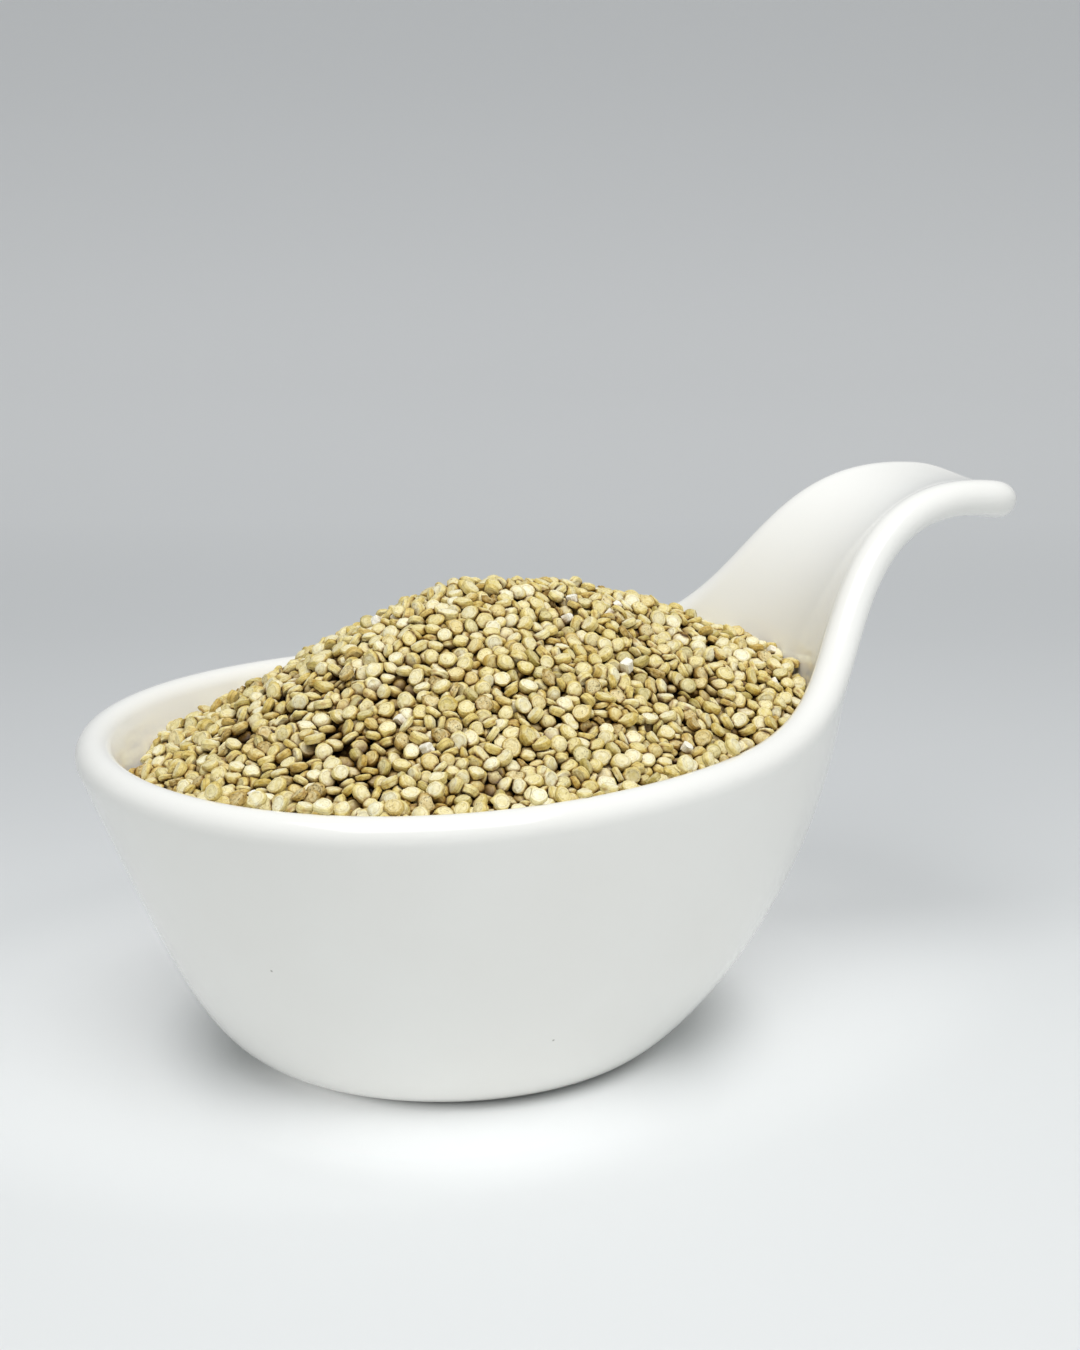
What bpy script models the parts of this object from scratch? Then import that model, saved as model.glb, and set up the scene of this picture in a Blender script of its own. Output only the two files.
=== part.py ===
"""A small white porcelain serving dish with a curled handle, heaped with quinoa.

The origin is the middle of the flat foot, on the table. +X points from the bowl to the
handle and +Z points up. Sizes are in metres.
"""

import math
import random

import bmesh
import bpy
import numpy as np
from mathutils import Vector
from mathutils.geometry import interpolate_bezier

MM = 0.001

# The wall is one thickness all over, and its edge is a full round.
WALL = 4.4 * MM
HALF_WALL = WALL / 2

# The bowl, measured on the middle of the wall.
BOWL_FRONT = -43.5 * MM
BOWL_BACK = 46.5 * MM
BOWL_HALF_WIDTH = 35.0 * MM
BOWL_HEIGHT = 35.0 * MM
EGG_SHAPE = 0.17  # how much narrower the rim is on the handle's side
FOOT_HALF_LENGTH = 21.0 * MM
FOOT_HALF_WIDTH = 20.0 * MM

# The wall's profile from the foot to the rim, as shares of the flare and of the height.
BELLY = 0.22  # how far the wall runs out along the table before it turns up
BELLY_LESS_AT_BACK = 0.18
STRAIGHT_PART = 0.75  # how much of the height is taken by the upper, straighter part
LEAN = 0.45  # how much the upper part leans outwards
LEAN_LESS_AT_BACK = 0.20

# The handle's middle line leaves the back of the rim, curls over and ends in a tip that dips.
TIP_X = 74.5 * MM
TIP_Z = 58.5 * MM
TIP_DIP = math.radians(12)
PULL_AT_RIM = 18.0 * MM
PULL_AT_TIP = 18.0 * MM
FLARE_FADES_OVER = 22.0 * MM
CHANNEL_RADIUS_AT_TIP = 30.0 * MM
TURN_SHARE = 0.8  # share of the handle over which its sections tip back with it

# The handle's half width, from where its edges leave the rim to the squared tip.
RISE_ANGLE = math.radians(74)
SHOULDER_HALF_WIDTH = 14.0 * MM
SHOULDER_LENGTH = 14.0 * MM
TIP_HALF_WIDTH = 7.6 * MM
TIP_CORNER = 4.5 * MM
TIP_SQUARENESS = 2.5

# The net of points: ribs fan out from the spine to the rim, on one half of the dish.
RIBS = 40
ROWS = 13
RIM_STEPS = 4
FOOT_REACH = 0.28  # the foot's share of a rib
HANDLE_REACH = 0.80  # the handle's length in the same measure
SPINE_SHORT_OF_TIP = 0.14  # the last ribs fan out from here, to go round the squared tip
SPINE_END = 1 + HANDLE_REACH - SPINE_SHORT_OF_TIP
NET_STEP = 0.002  # the step over which the wall's direction is measured
FINE = 400  # points on a line that is only measured
EDGE_ROUNDS = 25
MERGE_DISTANCE = 0.01 * MM
MIRROR_MERGE_DISTANCE = 0.05 * MM
PORCELAIN_COLOUR = (0.86, 0.86, 0.84)
PORCELAIN_ROUGHNESS = 0.12

# The heap of quinoa.
GAP = 0.3 * MM
PEAK = (6.5 * MM, 8.0 * MM, 53.8 * MM)
TOP_ROUNDING = 0.25  # 0 would be a sharp cone, more is rounder
SIDE_HUMP = (27.5 * MM, 9.0 * MM, 0.8 * MM)  # a low second hump on the handle's side
HUMP_RADIUS = 8.0 * MM
BELOW_RIM = 0.5 * MM
CONTACT_MEAN = 39.0 * MM
CONTACT_TO_HANDLE = 3.3 * MM
CONTACT_TO_BACK = 0.5 * MM
CONTACT_SKEW = 2.0 * MM
CONTACT_POINTS = 180
CAVITY_COLUMNS = 48
CAVITY_ROWS = 7
CAVITY_FIRST_ROW = 0.9  # as a share of the foot's reach
CAVITY_TOP = 66.0 * MM
GRAIN_SPACING = 2.1 * MM
GRAIN_RELIEF = 0.45 * MM
LEAST_BUMP = 0.5  # as a share of the relief
LEAST_DIP = 0.3
GRAIN_JITTER = 0.2 * MM
BLOCK_PAST_FRONT = 2.0 * MM
BLOCK_PAST_BACK = 10.0 * MM
BLOCK_PAST_SIDE = 3.0 * MM
BLOCK_LOWEST_TOP = 20.0 * MM
BLOCK_BOTTOM = -5.0 * MM
GRAIN_COLOUR = (0.62, 0.50, 0.28)
GRAIN_ROUGHNESS = 0.7
SEED = 11

FLARE_AT_BACK = BOWL_BACK - FOOT_HALF_LENGTH
LEAN_AT_BACK = LEAN - LEAN_LESS_AT_BACK


def remove_everything():
    for old in list(bpy.data.objects):
        bpy.data.objects.remove(old)


def make_material(name, colour, roughness):
    material = bpy.data.materials.new(name)
    material.use_nodes = True
    shader = material.node_tree.nodes["Principled BSDF"]
    shader.inputs["Base Color"].default_value = (*colour, 1.0)
    shader.inputs["Roughness"].default_value = roughness
    shader.inputs["Metallic"].default_value = 0.0
    return material


def smooth(share):
    share = np.clip(share, 0, 1)
    return share * share * (3 - 2 * share)


def wall_profile(share, toward_back):
    """The shares of the flare and of the height reached at a share of the way up the wall."""
    belly = BELLY - BELLY_LESS_AT_BACK * toward_back
    lean = LEAN - LEAN_LESS_AT_BACK * toward_back
    bottom = 3 * share * (1 - share) ** 2
    middle = 3 * share**2 * (1 - share)
    flare = bottom * belly + middle * (1 - STRAIGHT_PART * lean) + share**3
    height = middle * (1 - STRAIGHT_PART) + share**3
    return flare, height


def keel_table():
    """The handle's middle line: its length, points and directions in the XZ plane."""
    start = Vector((BOWL_BACK, 0, BOWL_HEIGHT + HALF_WALL))
    upward = Vector((FLARE_AT_BACK * LEAN_AT_BACK, 0, BOWL_HEIGHT)).normalized()
    tip = Vector((TIP_X, 0, TIP_Z))
    outward = Vector((math.cos(TIP_DIP), 0, -math.sin(TIP_DIP)))
    curve = interpolate_bezier(start, start + PULL_AT_RIM * upward, tip - PULL_AT_TIP * outward, tip, FINE)
    points = np.array([(p.x, p.z) for p in curve])
    steps = np.linalg.norm(np.diff(points, axis=0), axis=1)
    length = np.concatenate([[0.0], np.cumsum(steps)])
    direction = np.gradient(points, length, axis=0)
    direction /= np.linalg.norm(direction, axis=1)[:, None]
    return length, points, direction


KEEL_LENGTH, KEEL_POINTS, KEEL_DIRECTION = keel_table()
HANDLE_LENGTH = KEEL_LENGTH[-1]


def side_growth(up_handle, toward_back):
    """How much of the flare the sides gain past the rim's level, fading to nothing."""
    lean = LEAN - LEAN_LESS_AT_BACK * toward_back
    rate = lean / math.hypot(FLARE_AT_BACK * LEAN_AT_BACK, BOWL_HEIGHT)
    share = np.clip(up_handle / FLARE_FADES_OVER, 0, 1)
    return rate * FLARE_FADES_OVER * (share - share**3 + 0.5 * share**4)


def middle_skin(net_x, net_y):
    """The middle of the wall at points of the net, whose radius is 1 at the rim's level."""
    reach = np.hypot(net_x, net_y)
    angle = np.arctan2(net_y, net_x)
    toward_back = np.cos(angle)
    in_foot = np.clip(reach / FOOT_REACH, 0, 1)
    up_wall = np.clip((reach - FOOT_REACH) / (1 - FOOT_REACH), 0, 1)
    up_handle = np.clip(reach - 1, 0, None) / HANDLE_REACH * HANDLE_LENGTH

    flare, height = wall_profile(up_wall, toward_back)
    rim_half_length = (BOWL_BACK - BOWL_FRONT) / 2
    rim_centre = (BOWL_BACK + BOWL_FRONT) / 2
    growth = side_growth(up_handle, toward_back)
    half_length = FOOT_HALF_LENGTH * in_foot + (rim_half_length - FOOT_HALF_LENGTH) * (flare + growth)
    half_width = FOOT_HALF_WIDTH * in_foot + (BOWL_HALF_WIDTH - FOOT_HALF_WIDTH) * (flare + growth)
    channel = smooth(up_handle / HANDLE_LENGTH)
    sag_radius = half_length + (CHANNEL_RADIUS_AT_TIP - half_length) * channel
    sag = sag_radius * (1 - toward_back)

    # The keel point of the section: on the wall at the back, or up the handle.
    wall_x = rim_centre * flare + half_length
    wall_z = HALF_WALL + BOWL_HEIGHT * height
    on_handle = up_handle > 0
    keel_x = np.where(on_handle, np.interp(up_handle, KEEL_LENGTH, KEEL_POINTS[:, 0]), wall_x)
    keel_z = np.where(on_handle, np.interp(up_handle, KEEL_LENGTH, KEEL_POINTS[:, 1]), wall_z)
    run_x = np.interp(up_handle, KEEL_LENGTH, KEEL_DIRECTION[:, 0])
    run_z = np.interp(up_handle, KEEL_LENGTH, KEEL_DIRECTION[:, 1])

    # Sections are level in the bowl and turn square to the keel up the handle.
    turn = smooth(up_handle / (TURN_SHARE * HANDLE_LENGTH))
    across_x = -run_z * turn - (1 - turn)
    across_z = run_x * turn
    size = np.hypot(across_x, across_z)
    x = keel_x + across_x / size * sag
    y = half_width * np.sin(angle) * (1 - EGG_SHAPE * np.minimum(flare, 1) * toward_back)
    z = keel_z + across_z / size * sag
    return np.stack([x, y, z], axis=-1)


def skin_normal(net_x, net_y):
    """The direction out of the wall's middle towards the food."""
    along_x = middle_skin(net_x + NET_STEP, net_y) - middle_skin(net_x - NET_STEP, net_y)
    along_y = middle_skin(net_x, net_y + NET_STEP) - middle_skin(net_x, net_y - NET_STEP)
    normal = np.cross(along_x, along_y)
    return normal / np.linalg.norm(normal, axis=-1)[..., None]


def handle_half_width(up_handle):
    """Half the handle's width at a length up its keel, before the tip's corners are rounded."""
    rim_half_width = BOWL_HALF_WIDTH * math.sin(RISE_ANGLE) * (1 - EGG_SHAPE * math.cos(RISE_ANGLE))
    share = np.linspace(0, 1, FINE)
    start = (1 - share) ** 3
    near_start = 3 * share * (1 - share) ** 2
    near_end = 3 * share**2 * (1 - share)
    end = share**3
    width = start * rim_half_width + near_start * SHOULDER_HALF_WIDTH + (near_end + end) * TIP_HALF_WIDTH
    length = near_end * SHOULDER_LENGTH + end * HANDLE_LENGTH
    return np.interp(up_handle, length, width)


def edge_angle(up_handle):
    """The angle round the bowl at which the handle's edge lies, for lengths up the keel."""
    wanted = handle_half_width(up_handle)
    angle = np.arcsin(np.clip(wanted / BOWL_HALF_WIDTH, 0, 1))
    for _ in range(EDGE_ROUNDS):
        toward_back = np.cos(angle)
        growth = side_growth(up_handle, toward_back)
        half_width = BOWL_HALF_WIDTH + (BOWL_HALF_WIDTH - FOOT_HALF_WIDTH) * growth
        sine = wanted / (half_width * (1 - EGG_SHAPE * toward_back))
        angle = 0.5 * angle + 0.5 * np.arcsin(np.clip(sine, 0, 1))
    into_corner = np.clip((up_handle - HANDLE_LENGTH + TIP_CORNER) / TIP_CORNER, 0, 1)
    return angle * (1 - into_corner**TIP_SQUARENESS) ** (1 / TIP_SQUARENESS)


def rim_line(count):
    """Net points evenly spaced along half the rim, from the tip's middle to the bowl's front."""
    up_handle = HANDLE_LENGTH * (1 - np.linspace(0, 1, FINE) ** 2) ** 3
    angles = np.concatenate([edge_angle(up_handle), np.linspace(RISE_ANGLE, math.pi, FINE)[1:]])
    reach = 1 + np.concatenate([up_handle / HANDLE_LENGTH * HANDLE_REACH, np.zeros(FINE - 1)])
    net = np.stack([reach * np.cos(angles), reach * np.sin(angles)], axis=-1)
    points = middle_skin(net[:, 0], net[:, 1])
    length = np.concatenate([[0.0], np.cumsum(np.linalg.norm(np.diff(points, axis=0), axis=1))])
    even = np.linspace(0, length[-1], count)
    line = np.stack([np.interp(even, length, net[:, 0]), np.interp(even, length, net[:, 1])], axis=-1)
    line[0, 1] = 0.0
    line[-1, 1] = 0.0
    return line


def rim_outward(line):
    """The direction square to the rim, out along the wall, at each net point of the rim line."""
    points = middle_skin(line[:, 0], line[:, 1])
    normal = skin_normal(line[:, 0], line[:, 1])
    along = np.gradient(points, axis=0)
    along[0] = (0, 1, 0)
    along[-1] = (0, -1, 0)
    outward = np.cross(along, normal)
    return outward / np.linalg.norm(outward, axis=1)[:, None]


def dish_half():
    """Half the dish: each rib's section runs up the outer skin, round the rim and back inside."""
    line = rim_line(RIBS + 1)
    outward = rim_outward(line)
    sections = []
    for rim_point, out in zip(line, outward):
        spine = min(max(rim_point[0], 0.0), SPINE_END)
        share = np.linspace(0, 1, ROWS + 1)
        net_x = spine + (rim_point[0] - spine) * share
        net_y = rim_point[1] * share
        middle = middle_skin(net_x, net_y)
        normal = skin_normal(net_x, net_y)
        outer = middle - normal * HALF_WALL
        inner = middle + normal * HALF_WALL
        bend = np.linspace(0, math.pi, RIM_STEPS + 1)[1:-1, None]
        round_edge = middle[-1] + HALF_WALL * (np.sin(bend) * out - np.cos(bend) * normal[-1])
        sections.append(np.concatenate([outer, round_edge, inner[::-1]]))
    return np.array(sections[::-1])


def loft(name, sections):
    """A mesh over neighbouring sections; points that coincide are merged."""
    mesh = bpy.data.meshes.new(name)
    build = bmesh.new()
    rows = [[build.verts.new(point) for point in section] for section in sections]
    for first, second in zip(rows[:-1], rows[1:]):
        for k in range(len(first) - 1):
            build.faces.new((first[k], first[k + 1], second[k + 1], second[k]))
    bmesh.ops.remove_doubles(build, verts=build.verts, dist=MERGE_DISTANCE)
    bmesh.ops.dissolve_degenerate(build, edges=build.edges, dist=MERGE_DISTANCE)
    build.to_mesh(mesh)
    build.free()
    return mesh


def make_dish(collection):
    mesh = loft("bowl", dish_half())
    mesh.shade_smooth()
    dish = bpy.data.objects.new("bowl", mesh)
    collection.objects.link(dish)
    mirror = dish.modifiers.new("other half", "MIRROR")
    mirror.use_axis = (False, True, False)
    mirror.merge_threshold = MIRROR_MERGE_DISTANCE
    mesh.materials.append(make_material("glazed_porcelain", PORCELAIN_COLOUR, PORCELAIN_ROUGHNESS))
    return dish


def rim_height(angle):
    """The height at which the inner wall turns into the rim, at an angle round the bowl."""
    line = rim_line(FINE)
    points = middle_skin(line[:, 0], line[:, 1]) + skin_normal(line[:, 0], line[:, 1]) * HALF_WALL
    return np.interp(np.abs(angle), np.arctan2(line[:, 1], line[:, 0]), points[:, 2])


def contact_line(angles):
    """Where the heap's surface meets the inner wall."""
    wanted = CONTACT_MEAN + CONTACT_TO_HANDLE * np.cos(angles) + CONTACT_TO_BACK * np.sin(angles)
    wanted = wanted + CONTACT_SKEW * np.sin(2 * angles)
    wanted = np.minimum(wanted, rim_height(angles) - BELOW_RIM)
    contact = []
    for angle, height in zip(angles, wanted):
        reach = np.linspace(FOOT_REACH, 1 + HANDLE_REACH / 2, FINE)
        net_x = reach * math.cos(angle)
        net_y = reach * math.sin(angle)
        wall = middle_skin(net_x, net_y) + skin_normal(net_x, net_y) * HALF_WALL
        at = np.interp(height, wall[:, 2], reach)
        contact.append([np.interp(at, reach, wall[:, axis]) for axis in range(3)])
    return np.array(contact)


def heap_height(x, y, contact):
    """The heap's smooth surface: a rounded cone from the contact line to the peak."""
    off_x = contact[:, 0] - PEAK[0]
    off_y = contact[:, 1] - PEAK[1]
    bearing = np.arctan2(off_y, off_x)
    order = np.argsort(bearing)
    here = np.arctan2(y - PEAK[1], x - PEAK[0])
    radius = np.interp(here, bearing[order], np.hypot(off_x, off_y)[order], period=2 * math.pi)
    foot = np.interp(here, bearing[order], contact[order, 2], period=2 * math.pi)
    share = np.hypot(x - PEAK[0], y - PEAK[1]) / radius
    from_hump = np.hypot(x - SIDE_HUMP[0], y - SIDE_HUMP[1]) / HUMP_RADIUS
    hump = SIDE_HUMP[2] * np.exp(-from_hump**2)
    fall = np.hypot(share, TOP_ROUNDING) - TOP_ROUNDING
    fall = fall / (math.hypot(1, TOP_ROUNDING) - TOP_ROUNDING)
    return foot + (PEAK[2] - foot) * (1 - fall) + hump


def make_cavity(collection):
    """The room inside the bowl, a gap clear of the wall, carried straight up past the heap."""
    angles = np.linspace(math.pi, -math.pi, CAVITY_COLUMNS + 1)
    contact = contact_line(angles)
    sections = []
    for angle, touch in zip(angles, contact):
        reach = np.linspace(0, 1 + HANDLE_REACH / 2, FINE)
        net_x = reach * math.cos(angle)
        net_y = reach * math.sin(angle)
        wall = middle_skin(net_x, net_y) + skin_normal(net_x, net_y) * (HALF_WALL + GAP)
        last = np.interp(touch[2] + GRAIN_SPACING, wall[:, 2], reach)
        rows = np.concatenate([[0.0], np.linspace(FOOT_REACH * CAVITY_FIRST_ROW, last, CAVITY_ROWS)])
        section = [[np.interp(row, reach, wall[:, axis]) for axis in range(3)] for row in rows]
        section.append([section[-1][0], section[-1][1], CAVITY_TOP])
        section.append([0.0, 0.0, CAVITY_TOP])
        sections.append(section)
    cavity = bpy.data.objects.new("cavity", loft("cavity", sections))
    collection.objects.link(cavity)
    cavity.hide_render = True
    cavity.display_type = "WIRE"
    return cavity


def grain_block(contact):
    """A block under the heap's surface, whose top has a bump for each grain.

    Its top is a net of triangles. Every third point is the top of a grain, and the six points
    around it lie in the dips between grains.
    """
    draw = random.Random(SEED)
    side = GRAIN_SPACING / math.sqrt(3)
    row_step = side * math.sqrt(3) / 2
    left = BOWL_FRONT - BLOCK_PAST_FRONT
    columns = int((BOWL_BACK + BLOCK_PAST_BACK - left) / side)
    rows = int(2 * (BOWL_HALF_WIDTH + BLOCK_PAST_SIDE) / row_step)
    build = bmesh.new()
    top = []
    for j in range(rows + 1):
        line = []
        for i in range(columns + 1):
            x = left + (i + 0.5 * (j % 2)) * side
            y = (j - rows / 2) * row_step
            is_grain = (i + (j % 2) * 2) % 3 == 0
            x += draw.uniform(-1, 1) * GRAIN_JITTER
            y += draw.uniform(-1, 1) * GRAIN_JITTER
            z = float(heap_height(np.array(x), np.array(y), contact))
            if is_grain:
                z += GRAIN_RELIEF * draw.uniform(LEAST_BUMP, 1.0)
            else:
                z -= GRAIN_RELIEF * draw.uniform(LEAST_DIP, 1.0)
            line.append(build.verts.new((x, y, max(z, BLOCK_LOWEST_TOP))))
        top.append(line)
    for j in range(rows):
        for i in range(columns):
            a, b = top[j][i], top[j][i + 1]
            c, d = top[j + 1][i], top[j + 1][i + 1]
            if j % 2:
                build.faces.new((a, b, d))
                build.faces.new((a, d, c))
            else:
                build.faces.new((a, b, c))
                build.faces.new((b, d, c))
    edges = [edge for edge in build.edges if edge.is_boundary]
    walls = bmesh.ops.extrude_edge_only(build, edges=edges)["geom"]
    for vert in walls:
        if isinstance(vert, bmesh.types.BMVert):
            vert.co.z = BLOCK_BOTTOM
    bmesh.ops.holes_fill(build, edges=[edge for edge in build.edges if edge.is_boundary])
    bmesh.ops.recalc_face_normals(build, faces=build.faces)
    mesh = bpy.data.meshes.new("quinoa")
    build.to_mesh(mesh)
    build.free()
    return mesh


def make_quinoa(collection, cutters):
    contact = contact_line(np.linspace(-math.pi, math.pi, CONTACT_POINTS + 1)[:-1])
    quinoa = bpy.data.objects.new("quinoa", grain_block(contact))
    collection.objects.link(quinoa)
    trim = quinoa.modifiers.new("fills the bowl", "BOOLEAN")
    trim.operation = "INTERSECT"
    trim.solver = "EXACT"
    trim.object = make_cavity(cutters)
    quinoa.data.materials.append(make_material("quinoa_grain", GRAIN_COLOUR, GRAIN_ROUGHNESS))
    return quinoa


def main():
    remove_everything()
    scene = bpy.context.scene
    parts = bpy.data.collections.new("bowl_of_quinoa")
    cutters = bpy.data.collections.new("cutters")
    scene.collection.children.link(parts)
    scene.collection.children.link(cutters)
    make_dish(parts)
    make_quinoa(parts, cutters)


main()
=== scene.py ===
# %% [markdown]
# # A porcelain dish heaped with dry quinoa
#
# The real thing is a small serving dish of thick white porcelain, oval, with its back drawn up
# into a curled handle, and a heap of dry white quinoa in it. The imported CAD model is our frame:
# it fixes every size and place, in metres, with the origin in the middle of the dish's foot and
# +X towards the handle. We build finer pieces over it, give them their finish, and light them.

# %% Load the frame
import math

import bmesh
import bpy
import numpy as np
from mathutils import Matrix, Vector
from mathutils.bvhtree import BVHTree
from mathutils.geometry import interpolate_bezier
from mathutils.kdtree import KDTree


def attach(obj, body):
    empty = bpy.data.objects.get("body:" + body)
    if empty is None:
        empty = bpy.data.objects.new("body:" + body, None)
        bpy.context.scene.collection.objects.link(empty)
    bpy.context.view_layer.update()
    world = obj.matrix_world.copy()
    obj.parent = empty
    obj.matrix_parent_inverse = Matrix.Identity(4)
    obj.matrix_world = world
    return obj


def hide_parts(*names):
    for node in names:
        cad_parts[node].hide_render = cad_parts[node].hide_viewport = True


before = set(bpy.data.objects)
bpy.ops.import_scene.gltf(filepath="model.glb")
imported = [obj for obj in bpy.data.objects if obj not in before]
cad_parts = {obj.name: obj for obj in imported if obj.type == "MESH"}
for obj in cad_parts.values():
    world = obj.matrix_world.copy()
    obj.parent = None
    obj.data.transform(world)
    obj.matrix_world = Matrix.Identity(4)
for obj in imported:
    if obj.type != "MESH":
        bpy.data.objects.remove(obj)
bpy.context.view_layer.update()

MM = 0.001

# %% [markdown]
# ## Turning numbers into a mesh
#
# Both the dish and the seeds are worked out as arrays of points. Blender can take a whole array
# at once with `foreach_set`, which is hundreds of times faster than adding vertices one by one.
# All of our arrays have faces with the same number of corners, so one short helper is enough.

# %% A mesh from arrays
def mesh_piece(name, points, faces):
    """An object whose mesh has these points, and faces that all have equally many corners."""
    mesh = bpy.data.meshes.new(name)
    corners = faces.shape[1]
    mesh.vertices.add(len(points))
    mesh.vertices.foreach_set("co", np.asarray(points, np.float32).ravel())
    mesh.loops.add(faces.size)
    mesh.loops.foreach_set("vertex_index", np.asarray(faces, np.int32).ravel())
    mesh.polygons.add(len(faces))
    mesh.polygons.foreach_set("loop_start", np.arange(0, faces.size, corners, dtype=np.int32))
    mesh.update(calc_edges=True)
    mesh.shade_smooth()
    piece = bpy.data.objects.new(name, mesh)
    bpy.context.scene.collection.objects.link(piece)
    return piece


# %% [markdown]
# ## The dish: one wall, bent
#
# A dish like this is cast in a mould, so its wall is the same thickness all over and its edge
# is a full round. We could sculpt it, or loft it between drawn sections. A formula is better
# here: it gives the middle of the wall anywhere, and the two skins lie half a wall to each side.
# The formula works on a flat net of points. The net's radius is 0 in the middle of the foot,
# `FOOT_REACH` at the foot's edge and 1 at the rim's level, and it runs on to the handle's tip.

# %% The dish's driving sizes
WALL = 4.4 * MM
HALF_WALL = WALL / 2
BOWL_FRONT = -43.5 * MM
BOWL_BACK = 46.5 * MM
BOWL_HALF_WIDTH = 35.0 * MM
BOWL_HEIGHT = 35.0 * MM
EGG_SHAPE = 0.17  # how much narrower the rim is on the handle's side
FOOT_HALF_LENGTH = 21.0 * MM
FOOT_HALF_WIDTH = 20.0 * MM
FOOT_REACH = 0.28
HANDLE_REACH = 0.80
FINE = 1200  # samples along a curve where it is measured

# %% [markdown]
# The wall leaves the foot almost flat, turns up in a belly, and then runs straighter, leaning
# outwards. That is a cubic Bezier curve. At the back it turns up sooner and leans less, because
# there it has to run on into the handle.

# %% The wall's profile
BELLY = 0.22
BELLY_LESS_AT_BACK = 0.18
STRAIGHT_PART = 0.75
LEAN = 0.45
LEAN_LESS_AT_BACK = 0.20
FLARE_AT_BACK = BOWL_BACK - FOOT_HALF_LENGTH
LEAN_AT_BACK = LEAN - LEAN_LESS_AT_BACK


def smooth(share):
    """The share, eased in and out."""
    share = np.clip(share, 0, 1)
    return share * share * (3 - 2 * share)


def wall_profile(share, toward_back):
    """The shares of the flare and of the height reached at a share of the way up the wall."""
    belly = BELLY - BELLY_LESS_AT_BACK * toward_back
    lean = LEAN - LEAN_LESS_AT_BACK * toward_back
    bottom = 3 * share * (1 - share) ** 2
    middle = 3 * share**2 * (1 - share)
    flare = bottom * belly + middle * (1 - STRAIGHT_PART * lean) + share**3
    height = middle * (1 - STRAIGHT_PART) + share**3
    return flare, height


# %% [markdown]
# The handle's middle line is one more Bezier curve. It starts along the back wall, rises, curls
# over and ends in a tip that dips a little, which is what lets a finger hook under it.

# %% The handle's middle line
TIP_X = 74.5 * MM
TIP_Z = 58.5 * MM
TIP_DIP = math.radians(12)
PULL_AT_RIM = 18.0 * MM
PULL_AT_TIP = 18.0 * MM


def lengths_along(points):
    """The length of the line through the points, up to each of them."""
    steps = np.linalg.norm(np.diff(points, axis=0), axis=1)
    return np.concatenate([[0.0], np.cumsum(steps)])


def keel_table():
    """The handle's middle line: its length, points and directions in the XZ plane."""
    start = Vector((BOWL_BACK, 0, BOWL_HEIGHT + HALF_WALL))
    upward = Vector((FLARE_AT_BACK * LEAN_AT_BACK, 0, BOWL_HEIGHT)).normalized()
    tip = Vector((TIP_X, 0, TIP_Z))
    outward = Vector((math.cos(TIP_DIP), 0, -math.sin(TIP_DIP)))
    pulls = (start + PULL_AT_RIM * upward, tip - PULL_AT_TIP * outward)
    curve = interpolate_bezier(start, *pulls, tip, FINE)
    points = np.array([(p.x, p.z) for p in curve])
    length = lengths_along(points)
    direction = np.gradient(points, length, axis=0)
    direction /= np.linalg.norm(direction, axis=1)[:, None]
    return length, points, direction


KEEL_LENGTH, KEEL_POINTS, KEEL_DIRECTION = keel_table()
HANDLE_LENGTH = KEEL_LENGTH[-1]
print("the handle's middle line is", round(HANDLE_LENGTH / MM, 1), "mm long")

# %% [markdown]
# Now the whole wall. Each level of the bowl is an oval, and each level of the handle is the back
# end of such an oval, tipped back until it stands square to the middle line. So bowl and handle
# are one surface with no seam, as they are in the real dish.

# %% The middle of the wall
FLARE_FADES_OVER = 22.0 * MM
CHANNEL_RADIUS_AT_TIP = 30.0 * MM
TURN_SHARE = 0.8


def side_growth(up_handle, toward_back):
    """How much of the flare the sides gain past the rim's level, fading to nothing."""
    lean = LEAN - LEAN_LESS_AT_BACK * toward_back
    rate = lean / math.hypot(FLARE_AT_BACK * LEAN_AT_BACK, BOWL_HEIGHT)
    share = np.clip(up_handle / FLARE_FADES_OVER, 0, 1)
    return rate * FLARE_FADES_OVER * (share - share**3 + 0.5 * share**4)


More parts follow.
